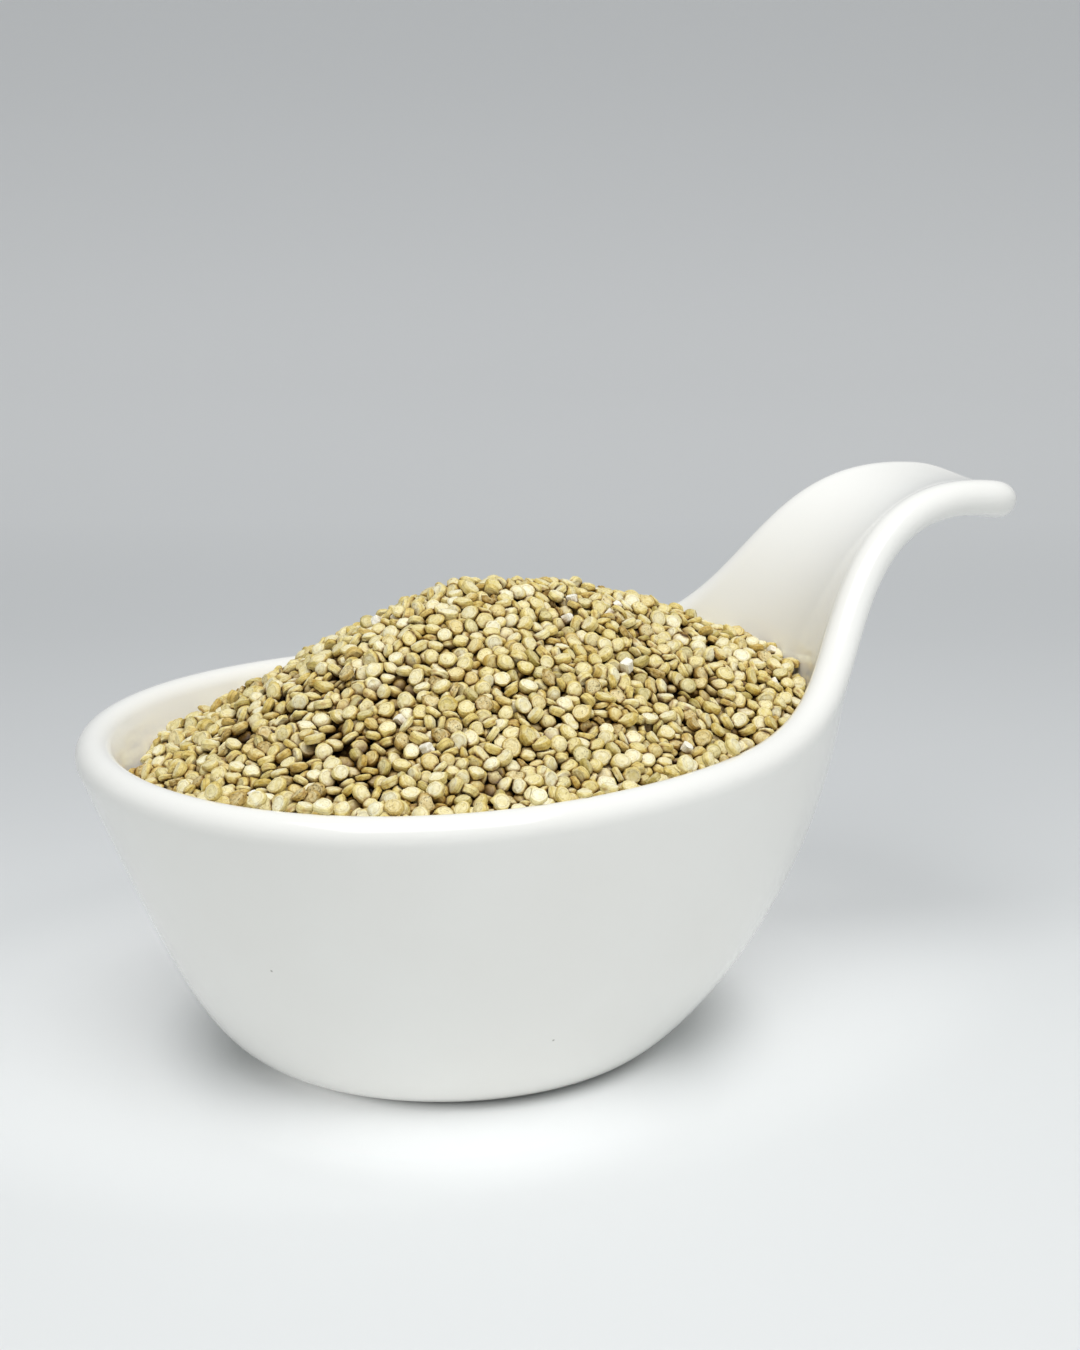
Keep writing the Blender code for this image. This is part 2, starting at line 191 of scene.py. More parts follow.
def middle_skin(net_x, net_y):
    """The middle of the wall at points of the net."""
    reach = np.hypot(net_x, net_y)
    angle = np.arctan2(net_y, net_x)
    toward_back = np.cos(angle)
    in_foot = np.clip(reach / FOOT_REACH, 0, 1)
    up_wall = np.clip((reach - FOOT_REACH) / (1 - FOOT_REACH), 0, 1)
    up_handle = np.clip(reach - 1, 0, None) / HANDLE_REACH * HANDLE_LENGTH

    flare, height = wall_profile(up_wall, toward_back)
    rim_half_length = (BOWL_BACK - BOWL_FRONT) / 2
    rim_centre = (BOWL_BACK + BOWL_FRONT) / 2
    growth = side_growth(up_handle, toward_back)
    half_length = FOOT_HALF_LENGTH * in_foot + (rim_half_length - FOOT_HALF_LENGTH) * (flare + growth)
    half_width = FOOT_HALF_WIDTH * in_foot + (BOWL_HALF_WIDTH - FOOT_HALF_WIDTH) * (flare + growth)
    channel = smooth(up_handle / HANDLE_LENGTH)
    sag_radius = half_length + (CHANNEL_RADIUS_AT_TIP - half_length) * channel
    sag = sag_radius * (1 - toward_back)

    wall_x = rim_centre * flare + half_length
    wall_z = HALF_WALL + BOWL_HEIGHT * height
    on_handle = up_handle > 0
    keel_x = np.where(on_handle, np.interp(up_handle, KEEL_LENGTH, KEEL_POINTS[:, 0]), wall_x)
    keel_z = np.where(on_handle, np.interp(up_handle, KEEL_LENGTH, KEEL_POINTS[:, 1]), wall_z)
    run_x = np.interp(up_handle, KEEL_LENGTH, KEEL_DIRECTION[:, 0])
    run_z = np.interp(up_handle, KEEL_LENGTH, KEEL_DIRECTION[:, 1])

    turn = smooth(up_handle / (TURN_SHARE * HANDLE_LENGTH))
    across_x = -run_z * turn - (1 - turn)
    across_z = run_x * turn
    size = np.hypot(across_x, across_z)
    x = keel_x + across_x / size * sag
    y = half_width * np.sin(angle) * (1 - EGG_SHAPE * np.minimum(flare, 1) * toward_back)
    z = keel_z + across_z / size * sag
    return np.stack([x, y, z], axis=-1)


def skin_normal(net_x, net_y):
    """The direction out of the wall's middle towards the food."""
    step = 0.002
    along_x = middle_skin(net_x + step, net_y) - middle_skin(net_x - step, net_y)
    along_y = middle_skin(net_x, net_y + step) - middle_skin(net_x, net_y - step)
    normal = np.cross(along_x, along_y)
    return normal / np.linalg.norm(normal, axis=-1)[..., None]


# %% [markdown]
# The wall ends in the rim. Round the bowl the rim is level. From `RISE_ANGLE` on it climbs, and
# becomes the two edges of the handle, which draw in to a neck and end in a squared tip. We write
# down the handle's half width along its length, and solve for the angle where the edge lies.

# %% The rim and the handle's edges
RISE_ANGLE = math.radians(74)
SHOULDER_HALF_WIDTH = 14.0 * MM
SHOULDER_LENGTH = 14.0 * MM
TIP_HALF_WIDTH = 7.6 * MM
TIP_CORNER = 4.5 * MM
TIP_SQUARENESS = 2.5


def handle_half_width(up_handle):
    """Half the handle's width at a length up its keel, before the tip's corners are rounded."""
    rim_half_width = BOWL_HALF_WIDTH * math.sin(RISE_ANGLE) * (1 - EGG_SHAPE * math.cos(RISE_ANGLE))
    share = np.linspace(0, 1, FINE)
    start = (1 - share) ** 3
    near_start = 3 * share * (1 - share) ** 2
    near_end = 3 * share**2 * (1 - share)
    end = share**3
    width = start * rim_half_width + near_start * SHOULDER_HALF_WIDTH
    width = width + (near_end + end) * TIP_HALF_WIDTH
    length = near_end * SHOULDER_LENGTH + end * HANDLE_LENGTH
    return np.interp(up_handle, length, width)


def edge_angle(up_handle):
    """The angle round the bowl at which the handle's edge lies, for lengths up the keel."""
    wanted = handle_half_width(up_handle)
    angle = np.arcsin(np.clip(wanted / BOWL_HALF_WIDTH, 0, 1))
    for _ in range(25):
        toward_back = np.cos(angle)
        growth = side_growth(up_handle, toward_back)
        half_width = BOWL_HALF_WIDTH + (BOWL_HALF_WIDTH - FOOT_HALF_WIDTH) * growth
        sine = wanted / (half_width * (1 - EGG_SHAPE * toward_back))
        angle = 0.5 * angle + 0.5 * np.arcsin(np.clip(sine, 0, 1))
    into_corner = np.clip((up_handle - HANDLE_LENGTH + TIP_CORNER) / TIP_CORNER, 0, 1)
    return angle * (1 - into_corner**TIP_SQUARENESS) ** (1 / TIP_SQUARENESS)


def rim_line(count):
    """Net points evenly spaced along half the rim, from the tip's middle to the bowl's front."""
    up_handle = HANDLE_LENGTH * (1 - np.linspace(0, 1, FINE) ** 2) ** 3
    angles = np.concatenate([edge_angle(up_handle), np.linspace(RISE_ANGLE, math.pi, FINE)[1:]])
    reach = 1 + np.concatenate([up_handle / HANDLE_LENGTH * HANDLE_REACH, np.zeros(FINE - 1)])
    net = np.stack([reach * np.cos(angles), reach * np.sin(angles)], axis=-1)
    points = middle_skin(net[:, 0], net[:, 1])
    length = lengths_along(points)
    even = np.linspace(0, length[-1], count)
    line = np.stack([np.interp(even, length, net[:, 0]), np.interp(even, length, net[:, 1])], axis=-1)
    line[0, 1] = 0.0
    line[-1, 1] = 0.0
    return line


# %% [markdown]
# To turn the formula into a mesh, ribs fan out from the dish's middle line to the rim. Each rib
# runs up the outer skin, goes round the rim in a half circle, and comes back down the inner
# skin. `RIBS` and `ROWS` are far finer than in the CAD model, so the curves look ground smooth.
# Only half is made, and mirrored by turning the points' y over.

# %% Ribs across the dish
RIBS = 200
ROWS = 72
RIM_STEPS = 14
SPINE_SHORT = 0.14  # the middle line stops so far short of the tip, or the last ribs would cross
SPINE_END = 1 + HANDLE_REACH - SPINE_SHORT
MERGE = 0.01 * MM


def rim_outward(line):
    """The direction square to the rim, out along the wall, at each net point of the rim line."""
    points = middle_skin(line[:, 0], line[:, 1])
    normal = skin_normal(line[:, 0], line[:, 1])
    along = np.gradient(points, axis=0)
    along[0] = (0, 1, 0)
    along[-1] = (0, -1, 0)
    outward = np.cross(along, normal)
    return outward / np.linalg.norm(outward, axis=1)[:, None]


def dish_ribs():
    """The points of half the dish, rib by rib."""
    line = rim_line(RIBS + 1)
    outward = rim_outward(line)
    share = np.linspace(0, 1, ROWS + 1)
    bend = np.linspace(0, math.pi, RIM_STEPS + 1)[1:-1, None]
    ribs = []
    for rim_point, out in zip(line, outward):
        spine = min(max(rim_point[0], 0.0), SPINE_END)
        net_x = spine + (rim_point[0] - spine) * share
        net_y = rim_point[1] * share
        middle = middle_skin(net_x, net_y)
        normal = skin_normal(net_x, net_y)
        round_edge = middle[-1] + HALF_WALL * (np.sin(bend) * out - np.cos(bend) * normal[-1])
        outer = middle - normal * HALF_WALL
        inner = middle + normal * HALF_WALL
        ribs.append(np.concatenate([outer, round_edge, inner[::-1]]))
    return np.array(ribs)


half_dish = dish_ribs()[::-1]
print("half the dish has", half_dish.shape[0], "ribs of", half_dish.shape[1], "points")

# %% [markdown]
# Neighbouring ribs are joined by quads. The two halves share the points on the mirror plane, and
# many ribs start at the same point in the foot, so points that coincide are merged at the end.

# %% The dish's mesh
def grid_faces(rows, columns):
    """Quads over a grid of points that are numbered along its rows."""
    first = np.arange(rows - 1)[:, None] * columns + np.arange(columns - 1)
    return np.stack([first, first + columns, first + columns + 1, first + 1], axis=-1).reshape(-1, 4)


def merged(piece, distance):
    """Points closer together than this become one, and faces left with no area go."""
    build = bmesh.new()
    build.from_mesh(piece.data)
    bmesh.ops.remove_doubles(build, verts=build.verts, dist=distance)
    bmesh.ops.dissolve_degenerate(build, edges=build.edges, dist=distance)
    build.to_mesh(piece.data)
    build.free()
    piece.data.shade_smooth()
    return piece


other_half = half_dish * (1, -1, 1)
half_faces = grid_faces(half_dish.shape[0], half_dish.shape[1])
other_faces = half_faces[:, ::-1] + half_dish.shape[0] * half_dish.shape[1]
dish_points = np.concatenate([half_dish, other_half]).reshape(-1, 3)
dish_faces = np.concatenate([half_faces, other_faces])
dish = merged(mesh_piece("porcelain_dish", dish_points, dish_faces), MERGE)
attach(dish, "root")
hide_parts("bowl")
print("the dish has", len(dish.data.polygons), "faces")

# %% [markdown]
# ## Colours and nodes
#
# We pick colours as the hex values of sRGB, but shader nodes work on linear light, so one
# function converts them. Another adds a node and gives it its values and links in one call.

# %% Helpers for materials
def linear(hex_colour):
    """The linear RGBA of a colour written as sRGB hex."""
    shares = [int(hex_colour[i:i + 2], 16) / 255 for i in (0, 2, 4)]
    light = [s / 12.92 if s <= 0.04045 else ((s + 0.055) / 1.055) ** 2.4 for s in shares]
    return (*light, 1.0)


def feed(material, node, values):
    """Give a node's inputs plain values, or link them to other nodes' outputs."""
    for name, value in values.items():
        if isinstance(value, bpy.types.NodeSocket):
            material.node_tree.links.new(value, node.inputs[name])
        else:
            node.inputs[name].default_value = value


def add_node(material, kind, values=None, **settings):
    """A node of this kind, with its settings and what goes into it."""
    node = material.node_tree.nodes.new(kind)
    for name, setting in settings.items():
        setattr(node, name, setting)
    feed(material, node, values or {})
    return node


def new_material(name):
    """An empty node material with its Principled shader."""
    material = bpy.data.materials.new(name)
    material.use_nodes = True
    return material, material.node_tree.nodes["Principled BSDF"]


# %% [markdown]
# A few short functions wrap the kinds of node that our materials are made of. With them a
# material reads as a list of what is on the surface, with every pattern in real millimetres.

# %% The kinds of node that we need
def blend(material, share, first, second, **settings):
    """A colour on the way from the first to the second; either is hex or a node's output."""
    ends = [linear(colour) if isinstance(colour, str) else colour for colour in (first, second)]
    values = {0: share, 6: ends[0], 7: ends[1]}
    return add_node(material, "ShaderNodeMix", values, data_type="RGBA", **settings).outputs[2]


def spread(material, value, low, high, at_low=0.0, at_high=1.0, **settings):
    """A value's way from low to high, as a way from at_low to at_high that stops at both ends."""
    values = {"Value": value, "From Min": low, "From Max": high, "To Min": at_low, "To Max": at_high}
    return add_node(material, "ShaderNodeMapRange", values, **settings).outputs["Result"]


def reckon(material, operation, *values):
    """One sum with plain values."""
    node = add_node(material, "ShaderNodeMath", dict(enumerate(values)), operation=operation)
    return node.outputs["Value"]


def reckon_places(material, operation, *values):
    """One sum with places or directions. Some sums give a plain value."""
    node = add_node(material, "ShaderNodeVectorMath", dict(enumerate(values)), operation=operation)
    return node.outputs["Value" if operation in ("DISTANCE", "LENGTH", "DOT_PRODUCT") else "Vector"]


def clouds(material, place, size_mm, detail, roughness=0.5):
    """A cloudy pattern whose blots are about so many millimetres wide."""
    values = {"Vector": place, "Scale": 1 / (size_mm * MM), "Detail": detail, "Roughness": roughness}
    return add_node(material, "ShaderNodeTexNoise", values).outputs["Fac"]


def relief(material, height, strength, depth_mm, over=None):
    """A bump of this depth, over another bump if there is one."""
    values = {"Height": height, "Strength": strength, "Distance": depth_mm * MM}
    if over is not None:
        values["Normal"] = over
    return add_node(material, "ShaderNodeBump", values).outputs["Normal"]


# %% [markdown]
# ## Glazed porcelain
#
# Porcelain is a white clay fired until it is almost glass, under a layer of clear glaze that is
# melted on. To the eye that is a bright, faintly warm white body, with sharp reflections on top
# that swim a little, because the glaze flowed before it set. So the base is white with a wide,
# weak mottling, the gloss is high, and a very low, wide bump stands for the flow of the glaze.
# A few pinholes, where a bubble broke in the kiln, are normal on such ware.

# %% Glazed porcelain
GLAZE_FLOW_MM = 14.0
GLAZE_RIPPLE_MM = 3.0
FLOW_DEPTH_MM = 0.35
FLOW_STRENGTH = 0.25
RIPPLE_DEPTH_MM = 0.05
RIPPLE_STRENGTH = 0.1
GLAZE_THICK = "F4F3EE"
GLAZE_THIN = "F8F8F4"
PINHOLE_GREY = "AEACA4"
PINHOLE_MM = 0.22
PINHOLE_CORE = 0.4  # the share of its width that is fully grey
PINHOLES = [(-33.0, -18.3, 19.8), (-4.6, -29.3, 10.1)]  # millimetres, on the side that faces us

porcelain, shader = new_material("glazed_porcelain")
place = add_node(porcelain, "ShaderNodeNewGeometry").outputs["Position"]
flow = clouds(porcelain, place, GLAZE_FLOW_MM, 2.0, 0.4)
ripple = clouds(porcelain, place, GLAZE_RIPPLE_MM, 1.0)
glaze = blend(porcelain, flow, GLAZE_THICK, GLAZE_THIN)
off_pinholes = []
for pinhole in PINHOLES:
    centre = [side * MM for side in pinhole]
    off_pinholes.append(reckon_places(porcelain, "DISTANCE", place, centre))
nearest = reckon(porcelain, "MINIMUM", *off_pinholes)
in_pinhole = spread(porcelain, nearest, PINHOLE_CORE * PINHOLE_MM * MM, PINHOLE_MM * MM, 1.0, 0.0)
wave = relief(porcelain, flow, FLOW_STRENGTH, FLOW_DEPTH_MM)
feed(porcelain, shader, {
    "Base Color": blend(porcelain, in_pinhole, glaze, PINHOLE_GREY),
    "Normal": relief(porcelain, ripple, RIPPLE_STRENGTH, RIPPLE_DEPTH_MM, wave),
    "Roughness": 0.10,
    "IOR": 1.50})
dish.data.materials.append(porcelain)
print("porcelain on", dish.name)

# %% [markdown]
# ## The heap's outer shape
#
# Poured seeds make a rounded cone whose foot meets the wall in a wavering line. We repeat the
# CAD model's heap: the line where it meets the inner wall, a peak, and the rounded fall between
# them. It isn't shown. It tells the seeds how high to lie.

# %% Where the heap meets the wall
PEAK = (6.5 * MM, 8.0 * MM, 53.8 * MM)
TOP_ROUNDING = 0.25
SIDE_HUMP = (27.5 * MM, 9.0 * MM, 0.8 * MM)
HUMP_RADIUS = 8.0 * MM
BELOW_RIM = 0.5 * MM
CONTACT_MEAN = 39.0 * MM
CONTACT_TO_HANDLE = 3.3 * MM
CONTACT_TO_BACK = 0.5 * MM
CONTACT_SKEW = 2.0 * MM
CONTACT_POINTS = 180


def rim_height(angle):
    """The height at which the inner wall turns into the rim, at an angle round the bowl."""
    line = rim_line(FINE)
    points = middle_skin(line[:, 0], line[:, 1]) + skin_normal(line[:, 0], line[:, 1]) * HALF_WALL
    return np.interp(np.abs(angle), np.arctan2(line[:, 1], line[:, 0]), points[:, 2])


def wall_ray(angle, count, off_wall):
    """Points up the inner wall at one angle, a little off the wall."""
    reach = np.linspace(0, 1 + HANDLE_REACH / 2, count)
    net_x = reach * math.cos(angle)
    net_y = reach * math.sin(angle)
    return middle_skin(net_x, net_y) + skin_normal(net_x, net_y) * (HALF_WALL + off_wall)


def contact_line(angles):
    """Where the heap's surface meets the inner wall."""
    wanted = CONTACT_MEAN + CONTACT_TO_HANDLE * np.cos(angles) + CONTACT_TO_BACK * np.sin(angles)
    wanted = wanted + CONTACT_SKEW * np.sin(2 * angles)
    wanted = np.minimum(wanted, rim_height(angles) - BELOW_RIM)
    contact = []
    for angle, height in zip(angles, wanted):
        wall = wall_ray(angle, FINE, 0.0)
        start = FINE // 4
        contact.append([np.interp(height, wall[start:, 2], wall[start:, axis]) for axis in range(3)])
    return np.array(contact)


contact_angles = np.linspace(-math.pi, math.pi, CONTACT_POINTS, endpoint=False)
contact = contact_line(contact_angles)
print("the heap's foot lies between", contact[:, 2].min() / MM, "and", contact[:, 2].max() / MM, "mm")

# %% [markdown]
# Round the peak we note, for each bearing, how far off the wall is and how high the heap meets
# it. A place's share of the way out then tells how far the surface has fallen there. The fall is
# a straight slope with a rounded top, since poured grain keeps to its angle of rest.

# %% The heap's surface
off_peak = contact[:, :2] - PEAK[:2]
bearings = np.arctan2(off_peak[:, 1], off_peak[:, 0])
bearing_order = np.argsort(bearings)
foot_bearings = bearings[bearing_order]
foot_radii = np.hypot(off_peak[:, 0], off_peak[:, 1])[bearing_order]
foot_heights = contact[bearing_order, 2]


def share_out(x, y):
    """How far out from the peak a place is: 0 at the peak, 1 where the heap meets the wall."""
    here = np.arctan2(y - PEAK[1], x - PEAK[0])
    radius = np.interp(here, foot_bearings, foot_radii, period=2 * math.pi)
    return np.hypot(x - PEAK[0], y - PEAK[1]) / radius


def heap_height(x, y):
    """The heap's smooth surface: a rounded cone from the contact line to the peak."""
    here = np.arctan2(y - PEAK[1], x - PEAK[0])
    foot = np.interp(here, foot_bearings, foot_heights, period=2 * math.pi)
    from_hump = np.hypot(x - SIDE_HUMP[0], y - SIDE_HUMP[1]) / HUMP_RADIUS
    hump = SIDE_HUMP[2] * np.exp(-from_hump**2)
    fall = np.hypot(share_out(x, y), TOP_ROUNDING) - TOP_ROUNDING
    fall = fall / (math.hypot(1, TOP_ROUNDING) - TOP_ROUNDING)
    return foot + (PEAK[2] - foot) * (1 - fall) + hump


def heap_normal(x, y):
    """The direction out of the heap's surface."""
    step = 0.5 * MM
    slope_x = (heap_height(x + step, y) - heap_height(x - step, y)) / (2 * step)
    slope_y = (heap_height(x, y + step) - heap_height(x, y - step)) / (2 * step)
    normal = np.stack([-slope_x, -slope_y, np.ones_like(slope_x)], axis=-1)
    return normal / np.linalg.norm(normal, axis=-1)[..., None]


# %% [markdown]
# ## The core of the heap
#
# Nobody can see more than three or four seeds deep, so the inside of the heap is one solid core
# with a bumpy top. Its skin is painted dark brown as the shade between seeds, and it fills the dish
# below them down to the bottom.

# %% The core
CORE_DEPTH = 3.3 * MM
CORE_OFF_WALL = 0.3 * MM
CORE_RINGS = 36
CORE_WALL_ROWS = 20
CORE_RELIEF = 0.25 * MM

draw = np.random.default_rng(5)


def core_sections():
    """At each angle: from the peak down the top to the wall, and down the wall to the foot."""
    sections = []
    for angle, touch in zip(contact_angles, contact):
        wall = wall_ray(angle, FINE, CORE_OFF_WALL)
        start = FINE // 4
        level = touch[2] - CORE_DEPTH
        last = np.interp(level, wall[start:, 2], np.arange(start, FINE))
        rows = np.linspace(last, 0, CORE_WALL_ROWS)
        down = np.stack([np.interp(rows, np.arange(FINE), wall[:, axis]) for axis in range(3)], axis=-1)
        share = np.linspace(0, 1, CORE_RINGS, endpoint=False)
        x = PEAK[0] + (down[0, 0] - PEAK[0]) * share
        y = PEAK[1] + (down[0, 1] - PEAK[1]) * share
        z = heap_height(x, y) - CORE_DEPTH
        z[1:] += draw.uniform(-1, 1, CORE_RINGS - 1) * CORE_RELIEF
        sections.append(np.concatenate([np.stack([x, y, z], axis=-1), down]))
    sections.append(sections[0])
    return np.array(sections)


core_points = core_sections()
core_faces = grid_faces(len(core_points), core_points.shape[1])[:, ::-1]
core = merged(mesh_piece("quinoa_core", core_points.reshape(-1, 3), core_faces), MERGE)
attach(core, "root")
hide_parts("quinoa")
print("the core has", len(core.data.polygons), "faces")

# %% [markdown]
# ## One quinoa seed
#
# A seed is a thick little disc, about 2 mm across and 1 mm thick. Its embryo lies curled round
# the edge like a tyre, and the paler food store fills the middle, so each face shows a ring and
# a shallow groove. Some seeds are flat faced, like a drum, and others are plump, like a lentil.
# Where the ring's two ends meet there is a notch, and often one end sticks out as a beak.
#
# We turn a profile round, as on a lathe, and then press the outline out of round. The profile is
# a mix of the drum and the lentil, and each shape gets its own mix, notch, beak and bend, so that
# neighbours don't match.

# %% The seed's shape
DRUM = np.array([(0.0, 0.70), (0.40, 0.70), (0.62, 0.66), (0.77, 0.80), (0.91, 0.74), (1.0, 0.26)])
LENTIL = np.array([(0.0, 1.04), (0.38, 0.96), (0.62, 0.76), (0.75, 0.68), (0.91, 0.36), (1.0, 0.05)])
CRISP_RINGS = (3, 6)  # the shoulder on either side, the second ring from the edge
PLAIN_DRUM = np.array([(0.0, 0.85), (0.64, 0.78), (0.97, 0.50)])
PLAIN_LENTIL = np.array([(0.0, 1.02), (0.62, 0.78), (0.97, 0.26)])
LEAST_LENTIL = 0.25
NOTCH_WIDTH = 0.30  # radians
BEAK_WIDTH = 0.36
BEAK_BESIDE_NOTCH = 0.62
HOLLOW_STARTS = 0.6  # the first ring sinks with the middle by so much, and the edge not at all
FINE_SIDES = 15
PLAIN_SIDES = 9


def seed_outline(turn, look):
    """How far the edge is from the middle at each angle."""
    out = 1 + look["oval"] * np.cos(2 * turn + 1.0) + look["corner"] * np.cos(3 * turn + look["turned"])
    out -= look["notch"] * np.exp(-((turn - math.pi) / NOTCH_WIDTH) ** 2)
    out += look["beak"] * np.exp(-((turn - math.pi + BEAK_BESIDE_NOTCH) / BEAK_WIDTH) ** 2)
    return out


def turned_shape(profile, outline, look):
    """Points with a radius of about 1 and faces about 1 above the middle, and the triangles."""
    sides = len(outline)
    rings = np.concatenate([profile[1:], profile[:0:-1] * (1, -1)])
    turn = np.linspace(0, 2 * math.pi, sides, endpoint=False)
    points = [(0.0, 0.0, profile[0, 1] - look["hollow"])]
    for radius, height in rings:
        sink = np.sign(height) * look["hollow"] * (1 - radius) * HOLLOW_STARTS
        for angle, out in zip(turn, outline):
            reach = radius * (1 + (out - 1) * radius**2)
            x = reach * math.cos(angle)
            y = reach * math.sin(angle)
            points.append((x, y, height - sink + look["bend"] * (x * x - 0.5 * y * y)))
    points.append((0.0, 0.0, -profile[0, 1] + look["hollow"]))
    points = np.array(points) + draw.normal(0, look["wrinkle"], (len(points), 3))
    faces = []
    last = len(points) - 1
    for k in range(sides):
        following = (k + 1) % sides
        faces.append((0, 1 + k, 1 + following))
        faces.append((last, last - sides + following, last - sides + k))
        for ring in range(len(rings) - 1):
            a = 1 + ring * sides + k
            b = 1 + ring * sides + following
            faces.append((a, a + sides, b + sides))
            faces.append((a, b + sides, b))
    return points, np.array(faces)


# %% [markdown]
# A shape's own look is drawn at random, within limits for its kind. Shrivelled seeds dried before
# they were ripe: they are hollow faced, bent and wrinkled. Broken bits are chips of the white
# starch: small squared blocks with blunt corners, for which the outline is pressed towards a
# square.

# %% Shapes of each kind
CHIP_SQUARENESS = 8
CHIP_SIZE = 0.8


def sound_look():
    """How a ripe seed differs from a plain turned disc."""
    return {"oval": draw.uniform(-0.12, 0.12), "corner": draw.uniform(-0.06, 0.06),
            "turned": draw.uniform(0, 6), "notch": draw.uniform(0.0, 0.28),
            "beak": draw.uniform(-0.02, 0.22), "hollow": draw.uniform(-0.10, 0.26),
            "bend": draw.uniform(-0.16, 0.16), "wrinkle": 0.03}


def shrivelled_look():
    """The same for an unripe one, with wider limits."""
    return {"oval": draw.uniform(-0.22, 0.22), "corner": draw.uniform(-0.14, 0.14),
            "turned": draw.uniform(0, 6), "notch": draw.uniform(0.1, 0.4),
            "beak": draw.uniform(0.0, 0.4), "hollow": draw.uniform(0.2, 0.5),
            "bend": draw.uniform(-0.4, 0.4), "wrinkle": 0.06}


def seed_shapes(count, make_look, sides, drum, lentil):
    """Several shapes, each its own mix of drum and lentil."""
    turn = np.linspace(0, 2 * math.pi, sides, endpoint=False)
    shapes = []
    for _ in range(count):
        look = make_look()
        mix = draw.uniform(LEAST_LENTIL, 1)
        shapes.append(turned_shape(drum * (1 - mix) + lentil * mix, seed_outline(turn, look), look))
    return shapes


def chip_shapes(count):
    """Broken bits: blocks with blunt corners."""
    block = np.array([(0.0, 0.95), (0.70, 0.95), (0.94, 0.88), (1.0, 0.68)])
    turn = np.linspace(0, 2 * math.pi, FINE_SIDES, endpoint=False)
    shapes = []
    for _ in range(count):
        look = sound_look() | {"hollow": 0.0, "bend": draw.uniform(-0.2, 0.2), "wrinkle": 0.04}
        long_way = draw.uniform(0.65, 0.9)
        sides = (np.abs(np.cos(turn)), np.abs(np.sin(turn) / long_way))
        squared = sides[0] ** CHIP_SQUARENESS + sides[1] ** CHIP_SQUARENESS
        shapes.append(turned_shape(block, squared ** (-1 / CHIP_SQUARENESS) * CHIP_SIZE, look))
    return shapes


sound_shapes = seed_shapes(24, sound_look, FINE_SIDES, DRUM, LENTIL)
shrivelled_shapes = seed_shapes(8, shrivelled_look, FINE_SIDES, DRUM, LENTIL)
chips = chip_shapes(6)
deep_shapes = seed_shapes(12, sound_look, PLAIN_SIDES, PLAIN_DRUM, PLAIN_LENTIL)
print("a fine seed has", len(sound_shapes[0][1]), "triangles, a plain one", len(deep_shapes[0][1]))

# %% [markdown]
# ## Pouring the seeds
#
# Seeds scattered at random would run through each other, and seeds on a grid would look like
# tiles. Real ones are pushed into place by their neighbours. A rigid body simulation of some
# thousand seeds is slow, so we do the one part of it that shows: wherever two seeds overlap,
# both are pushed apart and turned a little to lie face to face, while all of them are drawn
# gently towards the core. After some dozens of rounds they lie like poured seeds.

# %% Scatter the seeds
SEED_COUNT = 4900
RIM_SEEDS = 24  # the last ones of all, which lie on the edge that faces us
SEED_ACROSS = 1.98 * MM
SEED_ACROSS_SPREAD = 0.16 * MM
SEED_FLATNESS = 0.55
SEED_FLATNESS_SPREAD = 0.08
ACROSS_LIMITS = (1.45 * MM, 2.25 * MM)
FLATNESS_LIMITS = (0.38, 0.80)
LIES_FLAT = 0.75  # 0 is every way up, 1 or more lies flat on the heap
TOP_SEEDS_DOWN = 0.3 * MM  # how far the highest centres start below the heap's surface
OFF_WALL = 0.98  # the share of the way out to the wall that is filled
STEEPEST = 1.35  # how many more seeds the steepest part gets than level ground

pour = np.random.default_rng(23)


def unit(vectors):
    """The same directions with a length of 1."""
    return vectors / np.linalg.norm(vectors, axis=-1)[..., None]


def scatter(count):
    """Random places in the layer above the core, even over the heap's area."""
    found = np.zeros((0, 3))
    while len(found) < count:
        x = pour.uniform(BOWL_FRONT, BOWL_BACK, count)
        y = pour.uniform(-BOWL_HALF_WIDTH, BOWL_HALF_WIDTH, count)
        depth = pour.uniform(TOP_SEEDS_DOWN, CORE_DEPTH, count)
        steep = 1 / heap_normal(x, y)[:, 2]
        keep = (share_out(x, y) < OFF_WALL) & (pour.uniform(0, STEEPEST, count) < steep)
        new = np.stack([x, y, heap_height(x, y) - depth * steep], axis=-1)[keep]
        found = np.concatenate([found, new])
    return found[:count]


seed_places = np.concatenate([scatter(SEED_COUNT - RIM_SEEDS), np.zeros((RIM_SEEDS, 3))])
seed_widths = np.clip(pour.normal(SEED_ACROSS, SEED_ACROSS_SPREAD, SEED_COUNT), *ACROSS_LIMITS) / 2
seed_flatness = pour.normal(SEED_FLATNESS, SEED_FLATNESS_SPREAD, SEED_COUNT)
seed_thicknesses = seed_widths * np.clip(seed_flatness, *FLATNESS_LIMITS)
seed_axes = unit(pour.normal(0, 1, (SEED_COUNT, 3)))
seed_axes[(seed_axes * heap_normal(seed_places[:, 0], seed_places[:, 1])).sum(1) < 0] *= -1
seed_axes = unit(seed_axes + LIES_FLAT * heap_normal(seed_places[:, 0], seed_places[:, 1]))
print(SEED_COUNT, "seeds scattered")

# %% [markdown]
# When a dish is filled to the edge, some seeds end up on the rim itself. They are what makes the
# foot of the heap ragged. We set a row of them on the rim's inner edge where it faces us: a ray
# from above finds the glaze, and each seed lies on it, leaning outwards on the others. They stay
# where they are while the rest are pushed.

# %% Seeds on the edge
RIM_FROM = math.radians(-160)
RIM_TO = math.radians(-68)
RIM_UNEVEN = 0.022  # radians either way, so that the seeds aren't evenly spaced
RIM_OUT_MM = (0.3, 1.5)  # how far out from the heap's foot
RIM_LEAN = (0.3, 2.2)  # how much of their direction is outward
RIM_TUMBLE = 0.25
ABOVE_ALL = 0.1  # metres, over everything


